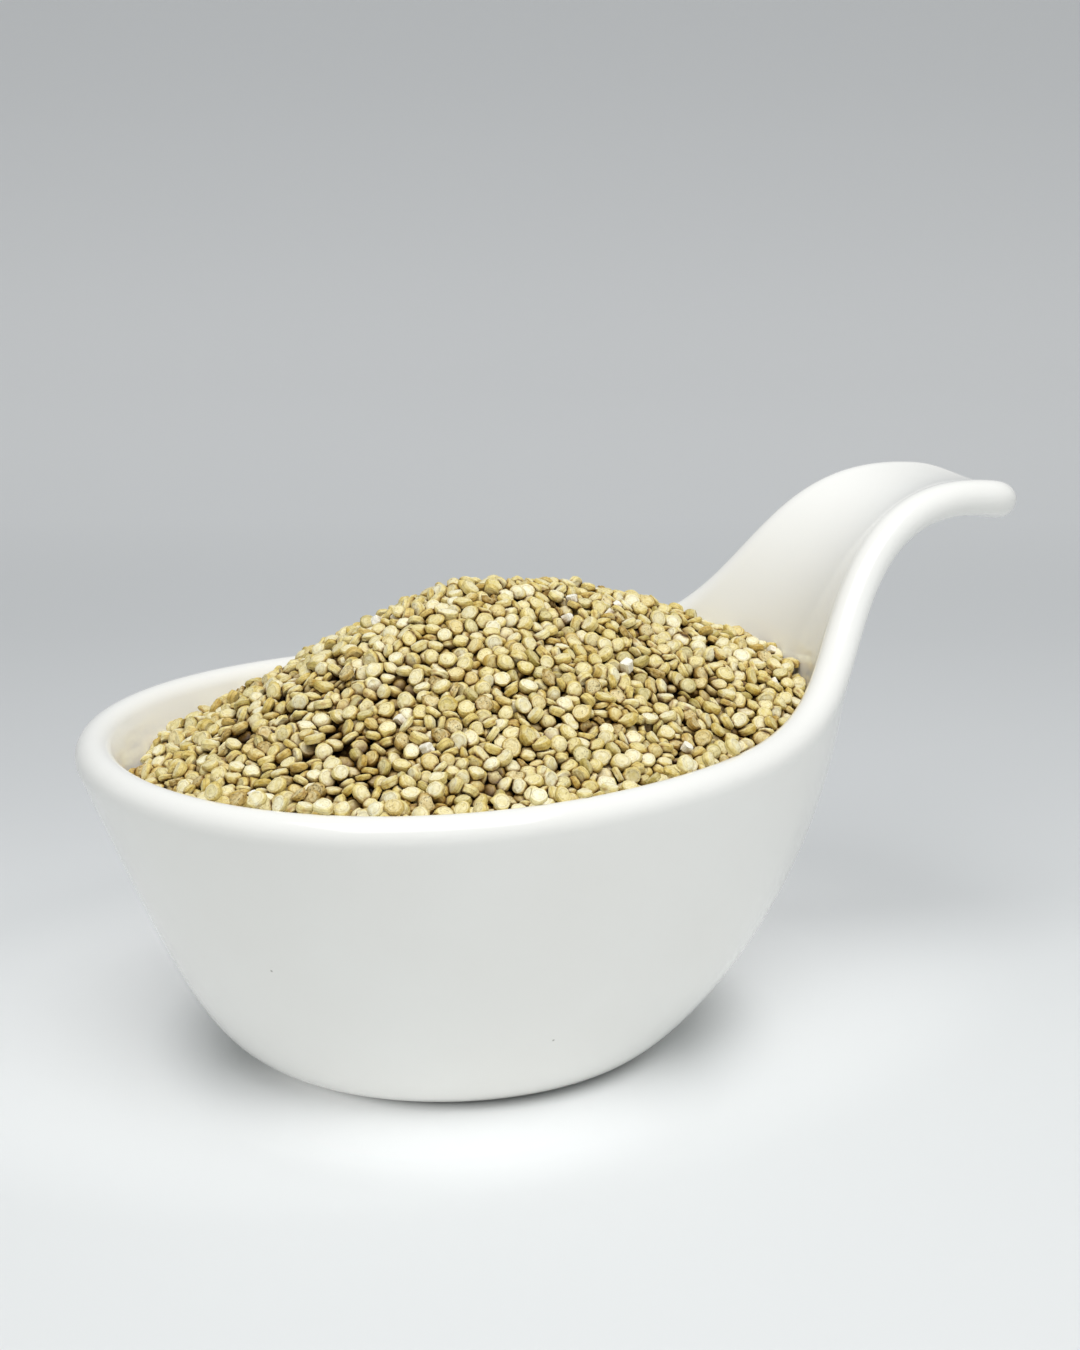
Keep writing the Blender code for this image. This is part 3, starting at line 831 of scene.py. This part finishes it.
def half_depth(number, lean):
    """How far a seed reaches towards a plane whose normal makes this cosine with its axis."""
    return math.hypot(seed_widths[number] * math.sqrt(1 - lean**2), seed_thicknesses[number] * lean)


corners = np.zeros(len(dish.data.vertices) * 3)
dish.data.vertices.foreach_get("co", corners)
dish_quads = [polygon.vertices[:] for polygon in dish.data.polygons]
dish_tree = BVHTree.FromPolygons(corners.reshape(-1, 3).tolist(), dish_quads)
rim_numbers = np.arange(SEED_COUNT - RIM_SEEDS, SEED_COUNT)
rim_angles = np.linspace(RIM_FROM, RIM_TO, RIM_SEEDS) + pour.uniform(-RIM_UNEVEN, RIM_UNEVEN, RIM_SEEDS)
rim_out = pour.uniform(*RIM_OUT_MM, RIM_SEEDS) * MM
for number, angle, outward in zip(rim_numbers, rim_angles, rim_out):
    foot = [np.interp(angle, contact_angles, contact[:, axis], period=2 * math.pi) for axis in range(2)]
    reach = 1 + outward / math.hypot(*foot)
    found = dish_tree.ray_cast((foot[0] * reach, foot[1] * reach, ABOVE_ALL), (0, 0, -1))
    normal = np.array(found[1]) * (1 if found[1].z > 0 else -1)
    outside = unit(np.array([foot[0], foot[1], 0.0]))
    lies = unit(normal + outside * pour.uniform(*RIM_LEAN) + pour.normal(0, RIM_TUMBLE, 3))
    seed_axes[number] = lies
    seed_places[number] = np.array(found[0]) + normal * half_depth(number, float(lies @ normal))
rim_places = seed_places[rim_numbers].copy()
rim_axes = seed_axes[rim_numbers].copy()
rim_heights = rim_places[:, 2] / MM
print("seeds on the edge between", rim_heights.min(), "and", rim_heights.max(), "mm")

# %% [markdown]
# To push seeds apart we have to know which are near each other, and where the wall is. Search
# trees answer both questions fast: one of the seeds' centres, and one of the dish's inner skin.

# %% What is near a seed
inner_skin = np.concatenate([half_dish, other_half[::-1]])[:, -ROWS - 1:]
inner_faces = grid_faces(inner_skin.shape[0], inner_skin.shape[1])[:, ::-1]
wall_tree = BVHTree.FromPolygons(inner_skin.reshape(-1, 3).tolist(), inner_faces.tolist())
middle_of_foot = wall_tree.find_nearest((0, 0, WALL))
print("the inner skin faces", "up" if middle_of_foot[1].z > 0 else "down")


def near_pairs(places, reach):
    """Every pair of seeds whose centres are closer than the reach."""
    tree = KDTree(len(places))
    for number, place in enumerate(places):
        tree.insert(place, number)
    tree.balance()
    first, second = [], []
    for number, place in enumerate(places):
        for _, other, _ in tree.find_range(place, reach):
            if other > number:
                first.append(number)
                second.append(other)
    return np.array(first), np.array(second)


# %% [markdown]
# In one round every overlapping pair is moved apart a little. Seeds count as flattened balls
# here, so how far one reaches towards its neighbour depends on which way up it lies.

# %% Push them apart
TURNING = 260.0  # radians for each metre of overlap
PUSH_SHARE = 0.35  # of the overlap, for each of the two seeds


def extent_along(numbers, lean):
    """How far a seed reaches along a line that makes this cosine with its axis."""
    across = (1 - lean**2) / seed_widths[numbers] ** 2
    through = lean**2 / seed_thicknesses[numbers] ** 2
    return 1 / np.sqrt(across + through)


def summed(numbers, vectors):
    """The vectors added up for each seed."""
    return np.stack([np.bincount(numbers, vectors[:, axis], SEED_COUNT) for axis in range(3)], axis=-1)


def push_apart(first, second):
    """One round: overlapping seeds move apart and turn towards lying face to face."""
    between = seed_places[second] - seed_places[first]
    distance = np.linalg.norm(between, axis=1) + 1e-9
    toward = between / distance[:, None]
    lean_first = (seed_axes[first] * toward).sum(1)
    lean_second = (seed_axes[second] * toward).sum(1)
    overlap = extent_along(first, lean_first) + extent_along(second, lean_second) - distance
    touch = overlap > 0
    first, second, toward, overlap = first[touch], second[touch], toward[touch], overlap[touch]
    lean_first, lean_second = lean_first[touch], lean_second[touch]
    push = toward * (overlap * PUSH_SHARE)[:, None]
    seed_places[:] += summed(second, push) - summed(first, push)
    turns = []
    for numbers, lean in ((first, lean_first), (second, lean_second)):
        turn = (toward - seed_axes[numbers] * lean[:, None]) * (lean * overlap * TURNING)[:, None]
        turns.append(summed(numbers, turn))
    seed_axes[:] = unit(seed_axes + turns[0] + turns[1])
    return overlap


# %% [markdown]
# The heap's surface and the core hold the seeds between them, and the glaze holds them in.

# %% Hold them in
UNDER_SURFACE = 0.25 * MM
PRESS_DOWN = 0.5  # the share of its height over that which a seed loses in a round
NEAR_WALL = 0.82  # share of the way out from which a seed may touch the wall
WALL_REACH = 6 * MM


def hold_on_core(sinking):
    """The seeds are drawn towards the core and stopped by it."""
    normal = heap_normal(seed_places[:, 0], seed_places[:, 1])
    seed_places[:] -= normal * sinking
    depth = (heap_height(seed_places[:, 0], seed_places[:, 1]) - seed_places[:, 2]) * normal[:, 2]
    too_deep = np.clip(depth - CORE_DEPTH, 0, None)
    too_high = np.clip(UNDER_SURFACE - depth, 0, None)
    seed_places[:] += normal * (too_deep - PRESS_DOWN * too_high)[:, None]


def hold_in_wall():
    """No seed goes into the dish's wall."""
    near = np.nonzero(share_out(seed_places[:, 0], seed_places[:, 1]) > NEAR_WALL)[0]
    for number in near:
        found = wall_tree.find_nearest(seed_places[number], WALL_REACH)
        if found[0] is None:
            continue
        normal = np.array(found[1])
        half = half_depth(number, float(normal @ seed_axes[number]))
        inside = half - float((seed_places[number] - np.array(found[0])) @ normal)
        if inside > 0:
            seed_places[number] += normal * inside


# %% [markdown]
# Now the rounds. The pairs are looked up anew only every few rounds, because that takes longest
# and seeds move little in between. The sinking fades out, so that the seeds come to rest.

# %% Let them settle
ROUNDS = 90
PAIRS_EVERY = 6
WALL_EVERY = 3
PAIR_REACH = 2.4 * MM
SINKING = 0.035 * MM

for round_number in range(ROUNDS):
    if round_number % PAIRS_EVERY == 0:
        first, second = near_pairs(seed_places, PAIR_REACH)
    overlap = push_apart(first, second)
    hold_on_core(SINKING * (1 - round_number / ROUNDS))
    seed_places[rim_numbers] = rim_places
    seed_axes[rim_numbers] = rim_axes
    if round_number % WALL_EVERY == 0 or round_number == ROUNDS - 1:
        hold_in_wall()
        seed_places[rim_numbers] = rim_places
print("mean overlap left:", round(float(overlap.mean()) / MM, 3), "mm in", len(overlap), "contacts")

# %% [markdown]
# ## Which seeds show
#
# The top layer gets the finely shaped seeds and the ones below get plain ones, because they only
# show as slivers between the others. A seed's own depth tells the layers apart.

# %% Sort the seeds by depth
FINE_SEEDS = 2200
depth_now = heap_height(seed_places[:, 0], seed_places[:, 1]) - seed_places[:, 2]
by_depth = np.argsort(depth_now)
fine_ones = by_depth[:FINE_SEEDS]
plain_ones = by_depth[FINE_SEEDS:]
print("fine seeds down to", round(float(depth_now[fine_ones[-1]]) / MM, 2), "mm below the surface")

# %% [markdown]
# ## Seeds as meshes
#
# Every seed of one kind is joined into one mesh, because thousands of objects would be slow.
# First we need a measure of how open each point lies, since the gaps between seeds are what
# makes grain look like grain, and the coat paints shade into them: it is the gap from the point
# to the nearest of the seeds round it.

# %% How near the neighbours are
NEIGHBOUR_REACH = 2.6 * MM
# painted shade: it starts at SHADE_FROM below the heap's surface, is full at SHADE_FULL, and also falls
# within TOUCH_REACH of a neighbour
SHADE_FROM = 1.1 * MM
SHADE_FULL = 2.6 * MM
TOUCH_REACH = 0.32 * MM
TOUCH_SHADE = 1.0
INNERMOST = 0.2  # nearer to a seed's centre than this share of its size, the gap stays the same

first, second = near_pairs(seed_places, NEIGHBOUR_REACH)
neighbours = [[] for _ in range(SEED_COUNT)]
for one, other in zip(first, second):
    neighbours[one].append(other)
    neighbours[other].append(one)


def nearness(points, others):
    """How near each point is to other seeds: 0 in the open and 1 where it touches one."""
    off = points[None] - seed_places[others][:, None]
    along = (off * seed_axes[others][:, None]).sum(-1)
    distance = np.linalg.norm(off, axis=-1)
    across = distance**2 - along**2
    wide = seed_widths[others][:, None]
    thick = seed_thicknesses[others][:, None]
    scaled = np.sqrt(across / wide**2 + along**2 / thick**2)
    gap = distance * (1 - 1 / np.maximum(scaled, INNERMOST))
    return 1 - smooth(gap.min(0) / TOUCH_REACH)


# %% [markdown]
# A seed is a copy of one of the shapes, scaled to its size, spun about its own axis, and tipped
# to that axis. Three things are kept on the mesh for the material to read: where on its seed each
# point lies, one random number a seed, so that the colour can differ from seed to seed although
# it is a single object, and how much painted shade the point gets, more deep in the heap and where
# it touches a neighbour. The shoulders of the fine seeds are marked as sharp edges, so that the ring
# and the groove catch the light crisply.

# %% Join seeds into a piece
OVALS = 0.05  # how far out of round a seed may be scaled


def seed_frames(axes):
    """For each seed three directions square to each other, the third its axis."""
    spin = unit(np.cross(axes, unit(pour.normal(0, 1, axes.shape))))
    return np.stack([spin, np.cross(axes, spin), axes], axis=-1)


def seed_piece(name, numbers, shapes):
    """One mesh with all of these seeds."""
    which = pour.integers(0, len(shapes), len(numbers))
    frames = seed_frames(seed_axes[numbers])
    tones = pour.uniform(0, 1, len(numbers))
    oval = pour.normal(0, OVALS, len(numbers))
    points, faces, local, tone, shade = [], [], [], [], []
    count = 0
    for number, shape, turned, tone_here, longer in zip(numbers, which, frames, tones, oval):
        own, own_faces = shapes[shape]
        sizes = np.array([seed_widths[number] * (1 + longer), seed_widths[number] * (1 - longer),
                          seed_thicknesses[number]])
        placed = (own * sizes) @ turned.T + seed_places[number]
        points.append(placed)
        # painted shade kept on the points: darker deeper in the heap and where a point touches a
        # neighbour
        below = heap_height(placed[:, 0], placed[:, 1]) - placed[:, 2]
        deep = smooth((below - SHADE_FROM) / (SHADE_FULL - SHADE_FROM))
        touching = nearness(placed, neighbours[number]) if neighbours[number] else 0.0
        shade.append(1 - (1 - deep) * (1 - TOUCH_SHADE * touching))
        faces.append(own_faces + count)
        local.append(own)
        tone.append(np.full(len(own), tone_here))
        count += len(own)
    piece = mesh_piece(name, np.concatenate(points), np.concatenate(faces))
    for kept, values in (("on_seed", local), ("seed_tone", tone), ("in_shade", shade)):
        kind, field = ("FLOAT_VECTOR", "vector") if kept == "on_seed" else ("FLOAT", "value")
        attribute = piece.data.attributes.new(kept, kind, "POINT")
        attribute.data.foreach_set(field, np.concatenate(values).astype(np.float32).ravel())
    edges = np.zeros(len(piece.data.edges) * 2, dtype=np.int32)
    piece.data.edges.foreach_get("vertices", edges)
    rings = (edges.reshape(-1, 2) % len(shapes[0][0]) - 1) // FINE_SIDES
    crisp = (rings[:, 0] == rings[:, 1]) & np.isin(rings[:, 0], CRISP_RINGS)
    if len(shapes[0][1]) > len(deep_shapes[0][1]):
        piece.data.attributes.new("sharp_edge", "BOOLEAN", "EDGE").data.foreach_set("value", crisp)
    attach(piece, "root")
    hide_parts("quinoa")
    return piece


# %% [markdown]
# ## The colours of quinoa
#
# White quinoa isn't white. Most seeds are cream to straw, some are tanned or greenish where they
# ripened in the sun or in the shade of the plant, and a few are bleached. So we sort the seeds
# into kinds, and give each kind its own colours.

# %% Sort the seeds into kinds
KINDS = {"cream": (0.40, sound_shapes), "straw": (0.36, sound_shapes), "golden": (0.09, sound_shapes),
         "khaki": (0.08, sound_shapes), "shrivelled": (0.06, shrivelled_shapes), "broken": (0.0, chips)}
BROKEN_BITS = 18
BROKEN_FROM = 900  # they are drawn from so many seeds at the top
BROKEN_SIZE = 0.75
MOST_TRIANGLES = 190000

limits = np.cumsum([share for share, _ in KINDS.values()])
kind_of = np.searchsorted(limits / limits[-1], pour.uniform(0, 1, SEED_COUNT))
broken_bits = pour.choice(by_depth[:BROKEN_FROM], BROKEN_BITS, replace=False)
kind_of[broken_bits] = list(KINDS).index("broken")
seed_widths[broken_bits] *= BROKEN_SIZE
pieces_of_kind = {}
total = 0
for kind_number, (kind, (_, shapes)) in enumerate(KINDS.items()):
    here = fine_ones[kind_of[fine_ones] == kind_number]
    parts = math.ceil(len(here) * len(shapes[0][1]) / MOST_TRIANGLES)
    pieces = [seed_piece(f"{kind}_seeds_{k + 1}", part, shapes)
              for k, part in enumerate(np.array_split(here, parts))]
    pieces_of_kind[kind] = pieces
    for piece in pieces:
        total += len(piece.data.polygons)
        print(piece.name, len(piece.data.polygons), "triangles")
deep = seed_piece("deep_seeds", plain_ones, deep_shapes)
total += len(deep.data.polygons)
print("deep seeds", len(deep.data.polygons), "triangles; in all", total)

# %% [markdown]
# ## The seed coat
#
# The coat is a dry, thin skin, washed and polished by rubbing in the mill, so it has a faint waxy
# sheen and no real gloss. The colour depends on the place on the seed: palest over the food store
# in the middle of each face, a darker line in the groove, and a straw coloured tyre round the
# edge, with a seam in it. A brown scar shows where the seed sat on its stalk. On top of that the
# skin is mottled, which does more for the look of real grain than all the rest.
#
# Where seeds lie against each other, light gets there only by way of other seeds, so it comes out
# warmer and darker; we paint that in as shade, warm first and dark brown deeper down. `in_shade`
# says where that is.

# %% Where things are on a seed
SHOULDER_AT = 0.84  # shares of the seed's radius
SHOULDER_BLUR = 0.1
GROOVE_AT = 0.66
GROOVE_HALF_WIDTH = 0.10
GROOVE_STRENGTH = 0.26
SEAM_HALF_WIDTH = 0.14
SEAM_STRENGTH = 0.36
MOTTLE_MM = 0.5
MOTTLE_SHARE = 4.0  # how much more the mottling counts than the seed's own tone
MOTTLE_RANGE = (0.30, 0.65)
TONE_RANGE = (0.2, 0.8)
SPECK_MM = 0.22
SPECK_RANGE = (0.58, 0.72)
SCAR_AT = (-0.85, 0.12, 0.0)
SCAR_RANGE = (0.12, 0.5)
SCAR_STRENGTH = 0.75
SCAR = "A8763A"
# painted shade: a warm tint where seeds lie close, then dark brown where they lie deep
PAINTED_WARM_SHADE = "C89A48"
PAINTED_DEEP_SHADE = "2E1A00"
PAINTED_DEEP_SHADE_POWER = 1.6
DENT_MM = 0.16
DENT_STRENGTH = 0.6
GRIT_MM = 0.05
GRIT_STRENGTH = 0.5
print("the groove is at", GROOVE_AT, "of a seed's radius and the shoulder at", SHOULDER_AT)

# %% [markdown]
# One function makes the coat of any kind of seed, layer over layer: the two colours of face and
# edge, the lines, the scar, the specks, and last the painted shade, warm and then dark brown where
# seeds lie close or deep. Dry skin isn't smooth either: dents as wide as the mottling and a fine
# grit break up the highlight.

# %% The seed coat
def seed_coat(name, face_dark, face_light, edge_dark, edge_light, line, spots):
    """The skin of one kind of seed."""
    coat, shader = new_material(name)
    here = add_node(coat, "ShaderNodeAttribute", attribute_name="on_seed").outputs["Vector"]
    tone = add_node(coat, "ShaderNodeAttribute", attribute_name="seed_tone").outputs["Fac"]
    painted_shade = add_node(coat, "ShaderNodeAttribute", attribute_name="in_shade").outputs["Fac"]
    place = add_node(coat, "ShaderNodeNewGeometry").outputs["Position"]
    split = add_node(coat, "ShaderNodeSeparateXYZ", {"Vector": here}).outputs
    flat = add_node(coat, "ShaderNodeCombineXYZ", {"X": split["X"], "Y": split["Y"]})
    radius = reckon_places(coat, "LENGTH", flat.outputs["Vector"])

    mottle = clouds(coat, place, MOTTLE_MM, 3.0)
    both = reckon(coat, "MULTIPLY_ADD", mottle, MOTTLE_SHARE, tone)
    low, high = [cloud * MOTTLE_SHARE + own for cloud, own in zip(MOTTLE_RANGE, TONE_RANGE)]
    paler = spread(coat, both, low, high)
    face = blend(coat, paler, face_dark, face_light)
    edge = blend(coat, paler, edge_dark, edge_light)
    past_shoulder = spread(coat, radius, SHOULDER_AT - SHOULDER_BLUR, SHOULDER_AT + SHOULDER_BLUR)
    skin = blend(coat, past_shoulder, face, edge)

    off_groove = reckon(coat, "ABSOLUTE", reckon(coat, "SUBTRACT", radius, GROOVE_AT))
    in_groove = spread(coat, off_groove, 0.0, GROOVE_HALF_WIDTH, GROOVE_STRENGTH, 0.0)
    off_seam = reckon(coat, "ABSOLUTE", split["Z"])
    in_seam = spread(coat, off_seam, 0.0, SEAM_HALF_WIDTH, SEAM_STRENGTH, 0.0)
    skin = blend(coat, reckon(coat, "MAXIMUM", in_groove, in_seam), skin, line)

    off_scar = reckon_places(coat, "DISTANCE", here, SCAR_AT)
    in_scar = spread(coat, off_scar, *SCAR_RANGE, SCAR_STRENGTH, 0.0)
    skin = blend(coat, reckon(coat, "MULTIPLY", in_scar, tone), skin, SCAR)
    specks = clouds(coat, place, SPECK_MM, 2.0)
    skin = blend(coat, spread(coat, specks, *SPECK_RANGE, 0.0, spots), skin, line)
    # painted shade from in_shade: first tinted warm, then darkened to brown
    skin = blend(coat, painted_shade, skin, PAINTED_WARM_SHADE, blend_type="MULTIPLY")
    skin = blend(coat, reckon(coat, "POWER", painted_shade, PAINTED_DEEP_SHADE_POWER), skin, PAINTED_DEEP_SHADE)

    dents = relief(coat, mottle, DENT_STRENGTH, DENT_MM)
    feed(coat, shader, {
        "Base Color": skin,
        "Normal": relief(coat, specks, GRIT_STRENGTH, GRIT_MM, dents),
        "Roughness": 0.42,
        "IOR": 1.45,
        "Specular IOR Level": 0.4})
    return coat


# %% [markdown]
# Six coats: for each the dark and the pale colour of the face, the same for the edge, the colour
# of lines and specks, and how strong the specks are. Broken bits are bare starch, almost white,
# and the core's coat is dark brown, painted shade for the gaps between seeds.

# %% The coat of each kind
COATS = {
    "cream": seed_coat("cream_seed_coat", "EBDC9E", "FEFADC", "DAC26C", "F5E9AC", "8A5E14", 0.35),
    "straw": seed_coat("straw_seed_coat", "E2D082", "FCF2C4", "CCAF50", "EFDD92", "7A4E10", 0.45),
    "golden": seed_coat("golden_seed_coat", "DEC67A", "F7EAB6", "C09C44", "E5CE80", "6E440A", 0.5),
    "khaki": seed_coat("khaki_seed_coat", "D3C382", "F0E6B4", "AA9646", "D4C278", "56400E", 0.5),
    "shrivelled": seed_coat(
        "shrivelled_seed_coat", "C6A862", "F1E4B2", "A48034", "D6BC76", "4C3008", 0.9),
    "broken": seed_coat("broken_starch", "FBF6E4", "FFFDF2", "F8F1DC", "FDF9EA", "E8DEC0", 0.05),
}
for kind, pieces in pieces_of_kind.items():
    for piece in pieces:
        piece.data.materials.append(COATS[kind])
for piece in pieces_of_kind["broken"]:
    piece.data.shade_flat()
deep.data.materials.append(COATS["straw"])
# the core's coat is painted shade: the dark brown of the gaps between seeds
core_coat = seed_coat("shaded_seed_coat", "5A4522", "6A5430", "4A3618", "5A4522", "2E200C", 0.4)
core.data.materials.append(core_coat)
print("coats:", ", ".join(COATS))

# %% [markdown]
# ## The sweep
#
# The dish stands on a sheet of pale paper that curves up behind it, so that no corner shows. One
# bent strip does that: flat, then a quarter circle, then straight up. It is turned to face the
# camera, so that `away` points along the floor away from us, and `aside` to our right.

# %% The sweep's shape
SWEEP_FRONT = -1.2
SWEEP_FLAT_TO = 0.55
SWEEP_RADIUS = 0.35
SWEEP_TOP = 1.6
SWEEP_HALF_WIDTH = 1.6
CAMERA_BEARING = math.radians(29)
away = np.array([math.sin(CAMERA_BEARING), math.cos(CAMERA_BEARING), 0.0])
aside = np.array([math.cos(CAMERA_BEARING), -math.sin(CAMERA_BEARING), 0.0])

bend = np.linspace(0, math.pi / 2, 24)
curve = SWEEP_FLAT_TO + SWEEP_RADIUS * np.sin(bend)
run = np.concatenate([[SWEEP_FRONT], curve, [SWEEP_FLAT_TO + SWEEP_RADIUS]])
rise = np.concatenate([[0.0], SWEEP_RADIUS * (1 - np.cos(bend)), [SWEEP_TOP]])
rows = run[:, None] * away + rise[:, None] * np.array([0, 0, 1.0])
edges_of_sweep = [rows - SWEEP_HALF_WIDTH * aside, rows + SWEEP_HALF_WIDTH * aside]
sweep_points = np.stack(edges_of_sweep, axis=1).reshape(-1, 3)
sweep = mesh_piece("sweep", sweep_points, grid_faces(len(rows), 2))
print("the sweep has", len(sweep.data.polygons), "faces")

# %% [markdown]
# ## Matt paper
#
# The sweep is matt, faintly cool white paper. In a studio such a sheet is never evenly lit: it is
# a shade darker behind the dish, and its curve catches a second, softer light. We paint both in,
# as colour and as a weak glow along `away`. That is far easier to steer than more lamps, and it
# leaves the light on the dish alone.

# %% The paper's shades
PAPER_NEAR = "E2E4E4"
PAPER_FAR = "D6D8D9"
SHADES_FROM = -0.02  # metres behind the middle of the dish
SHADES_TO = 0.12
SOFT = {"interpolation_type": "SMOOTHSTEP"}
GLOW_FROM = 0.20
GLOW_TO = 0.85
GLOW = [(0.20, 0.0), (0.26, 0.03), (0.32, 0.09), (0.42, 0.14), (0.54, 0.17), (0.66, 0.165),
        (0.76, 0.115), (0.82, 0.085)]  # metres behind the dish, and the light added there

paper, shader = new_material("sweep_paper")
place = add_node(paper, "ShaderNodeNewGeometry").outputs["Position"]
behind = reckon_places(paper, "DOT_PRODUCT", place, tuple(away))
shaded = spread(paper, behind, SHADES_FROM, SHADES_TO, **SOFT)
shade_of_paper = blend(paper, shaded, PAPER_NEAR, PAPER_FAR)
glow = add_node(paper, "ShaderNodeValToRGB", {"Fac": spread(paper, behind, GLOW_FROM, GLOW_TO)})
glow.color_ramp.interpolation = "B_SPLINE"
stops = glow.color_ramp.elements
while len(stops) < len(GLOW):
    stops.new(0.5)
for stop, (distance, strength) in zip(stops, GLOW):
    stop.position = (distance - GLOW_FROM) / (GLOW_TO - GLOW_FROM)
    stop.color = (strength, strength, strength, 1.0)
print("the paper glows behind the dish at", len(GLOW), "places")

# %% [markdown]
# Close round the foot, white paper and white glaze throw light back and forth, and the paper
# there stays nearly as bright as in the open. One lamp and an even room give it less than that,
# so we add some: a wide oval glow beside the dish and a small round one in front of the foot.
# Each stops short of the foot, which keeps the dark line that shows that the dish stands there.

# %% The light round the foot
SIDE_BOUNCE = 0.22
SIDE_CENTRE = (0.003, 0.013, 0.0)
SIDE_STRETCH = (0.75, 1.0, 0.0)  # the dish is longer along X, and so is the light beside it
SIDE_RANGE = (0.030, 0.062)
FRONT_BOUNCE = 0.25
FRONT_CENTRE = (-0.008, -0.014, 0.0)
FRONT_RANGE = (0.012, 0.030)
FOOT_SHADE_RANGE = (0.0216, 0.0256)
BELLY_SHADE_RANGE = (0.026, 0.040)

off_side = reckon_places(paper, "SUBTRACT", place, SIDE_CENTRE)
off_side = reckon_places(paper, "LENGTH", reckon_places(paper, "MULTIPLY", off_side, SIDE_STRETCH))
off_front = reckon_places(paper, "DISTANCE", place, FRONT_CENTRE)
off_middle = reckon_places(paper, "LENGTH", place)
side_light = reckon(
    paper, "MULTIPLY", spread(paper, off_side, *SIDE_RANGE, SIDE_BOUNCE, 0.0, **SOFT),
    spread(paper, off_middle, *BELLY_SHADE_RANGE, **SOFT))
front_light = reckon(
    paper, "MULTIPLY", spread(paper, off_front, *FRONT_RANGE, FRONT_BOUNCE, 0.0, **SOFT),
    spread(paper, off_middle, *FOOT_SHADE_RANGE, **SOFT))
round_foot = reckon(paper, "ADD", front_light, side_light)
feed(paper, shader, {
    "Base Color": shade_of_paper,
    "Emission Color": reckon(paper, "ADD", round_foot, glow.outputs["Color"]),
    "Emission Strength": 1.0,
    "Roughness": 0.9})
sweep.data.materials.append(paper)
print("light added beside the dish:", SIDE_BOUNCE, "and in front of its foot:", FRONT_BOUNCE)

# %% [markdown]
# ## The light
#
# One large soft light hangs over the dish, nearer to us than the dish is and a little to the
# right, so that the front of the heap is bright and the shadows are wide and faint. A pale room
# all round fills them. A single light keeps the glaze's reflection to one soft patch.

# %% The light
ROOM_COLOUR = "EEF1F3"
ROOM_STRENGTH = 0.47
LIGHT_RIGHT, LIGHT_BEHIND, LIGHT_UP = 0.05, -0.17, 0.46
LIGHT_AIM = (0.0, 0.0, 0.03)
LIGHT_WIDTH, LIGHT_DEPTH = 0.46, 0.40
LIGHT_WATTS = 1.92

scene = bpy.context.scene
scene.view_settings.view_transform = "Standard"
world = bpy.data.worlds.new("pale_room")
scene.world = world
world.use_nodes = True
room = world.node_tree.nodes["Background"]
room.inputs["Color"].default_value = linear(ROOM_COLOUR)
room.inputs["Strength"].default_value = ROOM_STRENGTH

overhead = bpy.data.lights.new("overhead_light", "AREA")
overhead.shape = "RECTANGLE"
overhead.size = LIGHT_WIDTH
overhead.size_y = LIGHT_DEPTH
overhead.energy = LIGHT_WATTS
lamp = bpy.data.objects.new("overhead_light", overhead)
scene.collection.objects.link(lamp)
lamp.location = LIGHT_RIGHT * aside + LIGHT_BEHIND * away + np.array([0, 0, LIGHT_UP])
lamp.rotation_euler = (Vector(LIGHT_AIM) - lamp.location).to_track_quat("-Z", "Y").to_euler()
print("one soft light at", [round(c, 3) for c in lamp.location])

# %% [markdown]
# ## The camera
#
# The camera stands on the dish's long side, somewhat towards the end without a handle, and looks
# a little down. It is only 30 cm away, so the near side is drawn clearly larger than the far one.

# %% The camera
TARGET = Vector((0.0100, 0.0, 0.04295))
CAMERA_DISTANCE = 0.300
CAMERA_ELEVATION = math.radians(14.59)
CAMERA_LENS_MM = 67.2
CAMERA_SENSOR_MM = 36.0

camera = bpy.data.objects.new("camera", bpy.data.cameras.new("camera"))
scene.collection.objects.link(camera)
back = Vector((-math.sin(CAMERA_BEARING) * math.cos(CAMERA_ELEVATION),
               -math.cos(CAMERA_BEARING) * math.cos(CAMERA_ELEVATION), math.sin(CAMERA_ELEVATION)))
camera.location = TARGET + back * CAMERA_DISTANCE
camera.rotation_euler = (-back).to_track_quat("-Z", "Y").to_euler()
camera.data.lens = CAMERA_LENS_MM
camera.data.sensor_width = CAMERA_SENSOR_MM
camera.data.clip_start = 0.01
camera.data.clip_end = 10.0
scene.camera = camera
print("camera at", [round(c, 3) for c in camera.location])
